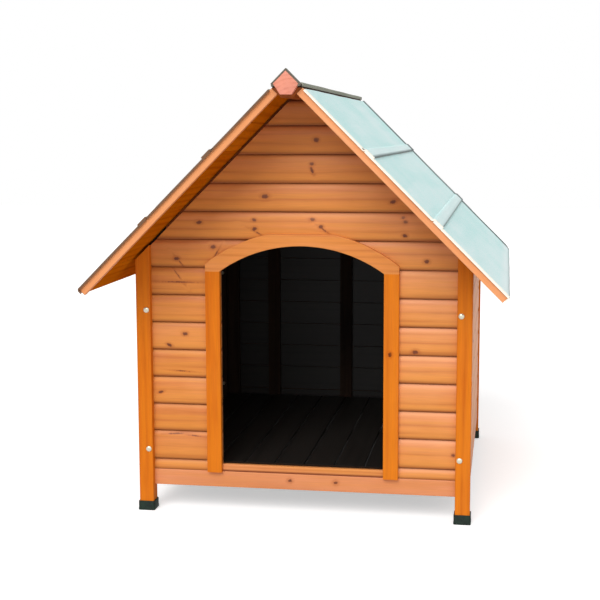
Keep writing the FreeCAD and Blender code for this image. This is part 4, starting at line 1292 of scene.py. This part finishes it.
@dataclass
class Ridge:
    """The felted ridge cap and the blocks that close its ends, a pointed one in front and a low one behind."""

    house: House
    half: float = 32 * MM
    felt: float = 3 * MM
    ease: float = 2.2 * MM
    block_half: float = 28 * MM
    block_lower: float = 23 * MM
    block_flat: float = 12.5 * MM
    block_felt: float = 3.5 * MM
    felt_drop: float = 5 * MM

    def cap(self) -> None:
        """Build the cap's felt: a flat top, rounded corners and two short sides, carried along the house."""
        low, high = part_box("ridge_cap_felt")
        edge, top, foot = high[0], high[2], low[2]
        bend, flat = np.linspace(0.0, QUARTER, 6), edge - self.ease
        arc = np.stack([flat + self.ease * np.cos(bend), top - self.ease + self.ease * np.sin(bend)], axis=-1)
        level = np.stack([np.linspace(flat, -flat, 14)[1:-1], np.full(12, top)], axis=-1)
        outer = np.concatenate([[(edge, foot)], arc, level, arc[::-1] * (-1, 1), [(-edge, foot)]])
        inner = np.array([(-self.half, foot), (-self.half, top - self.felt), (self.half, top - self.felt),
                          (self.half, foot)])
        section = np.concatenate([outer, inner])
        along = np.linspace(low[1], high[1], 111)[:, None]
        outside = np.arange(len(section)) < len(outer)
        wave = 0.25 * MM * (np.sin(17 * along) + 1) - 0.5 * MM
        ripple = np.where(outside & (section[:, 1] > top - MM), wave, 0.0)
        # Inside faces take the backing colour, and the last 25 mm towards the rear end is darkened to it too.
        backing_and_dark_end = np.maximum(np.where(outside, 0.0, 1.0), np.clip((along - high[1]) / (25 * MM) + 1, 0.0, 1.0))
        cap = Shell("ridge_cap_cover")
        cap.add(LENGTHWISE.place(along, section[:, 0], section[:, 1] + ripple), None, inner=backing_and_dark_end)
        cap.settle(self.house.material(SHADED_RIDGE_FELT), "house", "ridge_felt", "ridge_cap_felt")

    def blocks(self) -> None:
        """Build the end blocks: an outline of five or four sides, whose front and back arrises are eased."""
        for name, tone in (("front_gable_block", 0.7), ("rear_gable_block", 0.5)):
            low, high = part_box(name)
            front, thick = name.startswith("front"), high[1] - low[1]
            foot, level = low[2], low[2] + self.block_lower
            outline = [(self.block_half, level), (self.block_flat, foot), (-self.block_flat, foot),
                       (-self.block_half, level)]
            if front:
                outline.append((0.0, high[2]))
            section = walked(outline, 12)
            middle = section.mean(axis=0)
            depth = np.array([0.0, 0.3 * MM, MM, thick - MM, thick])
            shrink = np.array([MM, 0.35 * MM, 0.0, 0.0, MM]) / self.block_half
            spread = middle + (section - middle) * (1 - shrink)[:, None, None]
            along = np.broadcast_to(depth[:, None], spread.shape[:2])
            x, z = spread[..., 0], spread[..., 1]
            grain, knot = self.house.timber.grain(along, x, z - middle[1])
            axes = Axes((0.0, low[1], 0.0), BACK, RIGHT, UP)
            block = Shell(name.replace("gable_block", "ridge_block"))
            block.add(axes.place(along if front else thick - along, x, z), grain, tone=tone, knot=knot)
            block.settle(self.house.material(END_GRAIN_WOOD), "house", "board_wood", name)

    def cover(self) -> None:
        """Build the felt on the front block: over both upper faces, with a lip turned down at each side."""
        low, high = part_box("front_gable_block")
        slant = self.block_felt / ROOT
        point, level = high[2], low[2] + self.block_lower
        foot = level - self.felt_drop
        end = self.block_half - self.felt_drop * (self.block_half - self.block_flat) / self.block_lower
        half = [(end, foot), (self.block_half, level)]
        outer = [(end + slant, foot), (self.block_half + slant, level)]
        corners = [half[1], (0.0, point), *[(-x, z) for x, z in (half[1], half[0], *outer)],
                   (0.0, point + slant), outer[1], outer[0], half[0]]
        section = walked(corners, 8)
        along = np.linspace(low[1], high[1], 6)[:, None]
        cover = Shell("ridge_block_cover")
        cover.add(LENGTHWISE.place(along, section[:, 0], section[:, 1]), None, inner=0.7)
        cover.settle(self.house.material(SHADED_RIDGE_FELT), "house", "ridge_felt", "gable_block_felt")

    def build(self) -> None:
        """Build the cap, the blocks and the front block's cover."""
        self.cap()
        self.blocks()
        self.cover()


@dataclass
class Feet:
    """The moulded caps under the posts: a ring with rounded corners round the post, and a floor plate."""

    house: House
    post: float = 17.5 * MM
    wall: float = 3 * MM
    height: float = 23 * MM
    corner: float = 3 * MM
    floor: float = 4 * MM

    @staticmethod
    def loop(half: float, corner: float, z: float) -> Array:
        """Return a level square of a half width with rounded corners, as points round it."""
        flat, _ = eased_rectangle((-half, -half), (half, half), corner, 1.0)
        return np.column_stack([flat, np.full(len(flat), z)])

    def build(self) -> None:
        """Build the caps: the loop is carried round a closed profile of the wall."""
        feet = Shell("foot_mouldings")
        outer, inner = self.post + self.wall, self.post + 0.1 * MM
        wall = [(outer - 0.8 * MM, 0.0), (outer, 0.8 * MM), (outer, 6 * MM), (outer - 0.5 * MM, 7 * MM),
                (outer - 0.4 * MM, self.height - 1.2 * MM), (outer - MM, self.height), (inner, self.height),
                (inner, self.floor), (inner, 0.0)]
        sharp = 0.3 * MM
        for name in POSTS:
            low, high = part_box(name)
            middle = np.array([(low[0] + high[0]) / 2, (low[1] + high[1]) / 2, 0.0])
            rings = [self.loop(half, self.corner if half > inner else sharp, z) for half, z in wall]
            feet.add(middle + np.array(rings), None, ring=True)
            levels = (1.5 * MM, self.floor - 0.1 * MM)
            feet.add(middle + np.array([self.loop(inner - 0.1 * MM, sharp, z) for z in levels]))
        feet.settle(self.house.material(FOOT_PLASTIC), "house", "foot_plastic", "foot_caps")


@dataclass
class Floor:
    """The two lift-out halves of the floor: planed boards on cross cleats, painted the dark shade of the inside.
    """

    house: House
    boards: int = 5
    gap: float = 3 * MM

    def build(self) -> None:
        """Build each half's boards."""
        timber = self.house.timber
        for side in ("left", "right"):
            node = f"floor_{side}_boards"
            low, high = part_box(node)
            pitch = (high[0] - low[0] + self.gap) / self.boards
            half = Shell(f"floor_{side}_planks")
            for index in range(self.boards):
                first = low[0] + index * pitch
                timber.beam(half, LENGTHWISE, (first, low[2]), (first + pitch - self.gap, high[2]), at(low[1]),
                            at(high[1]), timber.tone(0.2, 0.8), spacing=14 * MM, inner=1.0)
            half.settle(self.house.material(BOARD_WOOD), f"floor_{side}", "inner_wood", node)


def revolved(profile: Array, base: Array, way: Sequence[float], segments: int) -> Array:
    """Carry a profile round an axis.

    Each point (radius, height) becomes a circle of that radius round the axis, at that height along it.

    Args:
        profile: Points (n, 2).
        base: The axis's starting point.
        way: The axis's unit direction.
        segments: The points in a circle.

    Returns:
        A tube of points (n, segments, 3).
    """
    way = np.array(way)
    side = np.cross(way, UP) if abs(way[2]) < 0.9 else np.array(RIGHT)
    side = side / np.linalg.norm(side)
    angle = np.linspace(0.0, 2 * math.pi, segments, endpoint=False)
    circle = np.cos(angle)[:, None] * side + np.sin(angle)[:, None] * np.cross(way, side)
    return base + profile[:, :1, None] * circle + profile[:, 1:, None] * way


def dome(radius: float, height: float, rim: float) -> Array:
    """Return the profile of a low domed head, from its underside to its top: a rim, then an ellipse."""
    bend = np.linspace(0.0, QUARTER, 8)[:-1]
    cap = np.stack([radius * np.cos(bend), rim + (height - rim) * np.sin(bend)], axis=-1)
    return np.concatenate([[(radius * 0.96, 0.0)], cap, [(radius * 0.08, height)]])


@dataclass
class Fasteners:
    """The bolts with their nuts, and the heads of the screws in the roof hinges."""

    house: House
    head: float = 7 * MM
    head_height: float = 3.4 * MM
    shank: float = 3 * MM
    grip: float = 70 * MM
    nut: float = 5.77 * MM
    nut_height: float = 5 * MM
    above_rail: float = 47.5 * MM
    upper_level: float = 494.2 * MM
    screw_head: float = 3.2 * MM
    screw_rise: float = 1.1 * MM
    screw_margin: float = 10 * MM
    leaf_length: float = 75 * MM
    fixed_inset: float = 15 * MM
    turning_down: float = 18 * MM
    turning_off: float = 2.9 * MM
    pin: float = 2 * MM

    def bolts(self) -> None:
        """Build the bolts: a dome, a shank and a nut with eased corners, all round one axis."""
        plan = self.house.plan
        bolts = Shell("post_bolts")
        x = (plan.post_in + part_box("right_wall_battens")[1][0]) / 2
        head = dome(self.head, self.head_height, 0.5 * MM)
        bar = np.array([(self.shank, 0.0), (self.shank, self.grip)])
        nut = np.array([(0.86, 0.0), (1.0, 0.12), (1.0, 0.88), (0.86, 1.0)]) * (self.nut, self.nut_height)
        for side in (-1, 1):
            for y, inward in ((plan.front, np.array(BACK)), (plan.rear, -np.array(BACK))):
                for z in (plan.rail_top + self.above_rail, self.upper_level):
                    start = np.array([side * x, y, z])
                    bolts.add(revolved(head, start, -inward, 28))
                    bolts.add(revolved(bar, start, inward, 16))
                    bolts.add(revolved(nut, start + self.grip * inward, inward, 6))
        bolts.settle(self.house.material(ZINC), "house", "zinc_steel", "frame_bolts")

    def screws(self) -> None:
        """Build the heads of the hinge screws, in the middle of each leaf's holes."""
        low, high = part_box("hinge_fixed_leaves")
        pin = np.array(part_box("hinge_pins")[0])
        axis_x, axis_z = pin[0] + self.pin, pin[2] + self.pin
        profile = dome(self.screw_head, self.screw_rise, 0.2 * MM)
        down, off = self.turning_down * ROOT, self.turning_off * ROOT
        seats = (
            ("fixed_leaf_screws", "house", low[0] + self.fixed_inset, high[2], UP),
            ("turning_leaf_screws", "left_roof", axis_x - down + off, axis_z - down - off, (-ROOT, 0.0, ROOT)),
        )
        for name, body, x, z, way in seats:
            screws = Shell(name)
            for near in (low[1], high[1] - self.leaf_length):
                for y in (near + self.screw_margin, near + self.leaf_length - self.screw_margin):
                    screws.add(revolved(profile, np.array([x, y, z]), way, 18))
            screws.settle(self.house.material(ZINC), body, "zinc_steel")

    def build(self) -> None:
        """Build the fasteners."""
        self.bolts()
        self.screws()


@dataclass
class Framing:
    """The solids that keep their own shape: hidden framing painted in dark shade, and the plated hinges."""

    house: House
    solids: dict[str, bpy.types.Object]
    hidden = {
        Run.ALONG_X: ("floor_left_cleats", "floor_right_cleats"),
        Run.ALONG_Y: ("wall_plates", "floor_bearers", "ridge_cap_board"),
        Run.ALONG_Z: ("corner_cleats", "door_frame", "rear_studs", "left_wall_battens", "right_wall_battens"),
    }
    roof = {
        Run.ALONG_X: ("front_rafters", "rear_rafters"),
        Run.ALONG_Y: ("ridge_beam",),
        Run.DOWN_LEFT: ("left_roof_battens",),
        Run.DOWN_RIGHT: ("right_roof_battens",),
    }

    def build(self) -> None:
        """Give each of these solids its finish."""
        for runs, wood in ((self.hidden, inner_wood), (self.roof, roof_frame_wood)):
            for run, names in runs.items():
                self.dress(wood(run), *names)
        self.dress(ZINC, "hinge_fixed_leaves", "hinge_turning_leaves", "hinge_pins")

    def dress(self, finish: Finish, *names: str) -> None:
        """Give solids a finish."""
        for name in names:
            self.solids[name].data.materials.clear()
            self.solids[name].data.materials.append(self.house.material(finish))
            LOG.info("%s keeps its solid, in %s", name, finish.name)


# ---------------------------------------------------------------------------------------------
# The studio
# ---------------------------------------------------------------------------------------------


def facing(right: Sequence[float], up: Sequence[float], back: Sequence[float], place: Vector = ORIGIN) -> Matrix:
    """Return the matrix of an object at a place, from its own right, up and back."""
    return Matrix([*np.column_stack([right, up, back, place]).tolist(), [0.0, 0.0, 0.0, 1.0]])


@dataclass
class Studio:
    """A white floor and sky, soft lamps, and the photographer's camera."""

    yaw: float = math.radians(9.43)
    pitch: float = math.radians(7.61)
    roll: float = -0.003
    place: Vector = (0.4714, -3.2246, 0.9107)
    lens: float = 74.56
    sensor: float = 36.0
    floor_half: float = 12.0
    sky_light: float = 0.45
    floor_grey: float = 0.82
    floor_glow: float = 0.5

    @staticmethod
    def hang(name: str, data: bpy.types.ID, matrix: Matrix) -> bpy.types.Object:
        """Put a camera or a lamp in the scene, and return it."""
        thing = bpy.data.objects.new(name, data)
        thing.matrix_world = matrix
        bpy.context.scene.collection.objects.link(thing)
        return thing

    def camera(self) -> None:
        """Set the camera from its turn to the left, its tilt down and its roll."""
        sy, cy, sp, cp = (f(a) for a in (self.yaw, self.pitch) for f in (math.sin, math.cos))
        ahead, level = np.array([-sy * cp, cy * cp, -sp]), np.array([cy, sy, 0.0])
        over = np.cross(level, ahead)
        right = math.cos(self.roll) * level + math.sin(self.roll) * over
        up = math.cos(self.roll) * over - math.sin(self.roll) * level
        lens = bpy.data.cameras.new("camera")
        lens.lens, lens.sensor_width = self.lens, self.sensor
        bpy.context.scene.camera = self.hang("camera", lens, facing(right, up, -ahead, self.place))

    def seen(self, graph: Graph) -> Socket:
        """Return 1 for rays from the camera and for reflected or refracted ones."""
        rays = graph.node("ShaderNodeLightPath").outputs
        found = graph.math("MAXIMUM", rays["Is Camera Ray"], rays["Is Glossy Ray"])
        return graph.math("MAXIMUM", found, rays["Is Transmission Ray"])

    def sky(self) -> None:
        """Set a world that lights softly and looks white."""
        world = bpy.data.worlds.new("studio")
        world.use_nodes = True
        bpy.context.scene.world = world
        graph = Graph(world.node_tree)
        ground = world.node_tree.nodes["Background"]
        ground.inputs["Color"].default_value = (1.0, 1.0, 1.0, 1.0)
        strength = graph.math("MULTIPLY_ADD", self.seen(graph), 1.0 - self.sky_light, self.sky_light)
        graph.feed(ground.inputs["Strength"], strength)

    def floor(self) -> None:
        """Lay a pale floor that looks white and keeps the shadow."""
        half = self.floor_half
        mesh = bpy.data.meshes.new("floor")
        corners = [(-half, -half, 0), (half, -half, 0), (half, half, 0), (-half, half, 0)]
        mesh.from_pydata(corners, [], [(0, 1, 2, 3)])
        material = bpy.data.materials.new("FloorPaint")
        material.use_nodes = True
        graph = Graph(material.node_tree)
        inputs = material.node_tree.nodes["Principled BSDF"].inputs
        inputs["Base Color"].default_value = (self.floor_grey, self.floor_grey, self.floor_grey, 1.0)
        inputs["Roughness"].default_value = 0.9
        inputs["Specular IOR Level"].default_value = 0.0
        inputs["Emission Color"].default_value = (1.0, 1.0, 1.0, 1.0)
        graph.feed(inputs["Emission Strength"], graph.math("MULTIPLY", self.seen(graph), self.floor_glow))
        mesh.materials.append(material)
        floor = bpy.data.objects.new("studio_floor", mesh)
        bpy.context.scene.collection.objects.link(floor)

    def lamp(self, name: str, power: float, spread: float, ahead: Vector) -> None:
        """Hang one far, soft lamp.

        Args:
            name: Its name.
            power: Its strength.
            spread: Its angle across, in degrees, which softens its shadows.
            ahead: The way that its light goes.
        """
        data = bpy.data.lights.new(name, "SUN")
        data.energy, data.angle = power, math.radians(spread)
        way = -np.array(ahead) / np.linalg.norm(ahead)
        side = np.cross(UP, way)
        side /= np.linalg.norm(side)
        self.hang(name, data, facing(side, np.cross(way, side), way))

    def build(self) -> None:
        """Set up the whole studio."""
        bpy.context.scene.view_settings.view_transform = "Standard"
        self.camera()
        self.sky()
        self.floor()
        self.lamp("key_lamp", 2.1, 38.0, (0.14, 0.76, -0.62))
        self.lamp("fill_lamp", 0.55, 60.0, (-0.5, 0.8, -0.25))


def main() -> None:
    """Build the studio and every sub-assembly in order."""
    logging.basicConfig(level=logging.INFO, format="%(message)s")
    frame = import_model()
    Studio().build()
    house = House()
    walls = WallBoards(house)
    for part in (
        walls, PostsAndRails(house), DoorTrim(house, walls), RoofSlope(house, -1, "left_roof"),
        RoofSlope(house, 1, "house"), Ridge(house), Feet(house), Floor(house), Fasteners(house),
        Framing(house, frame["nodes"]),
    ):
        part.build()


if __name__ == "__main__":
    main()
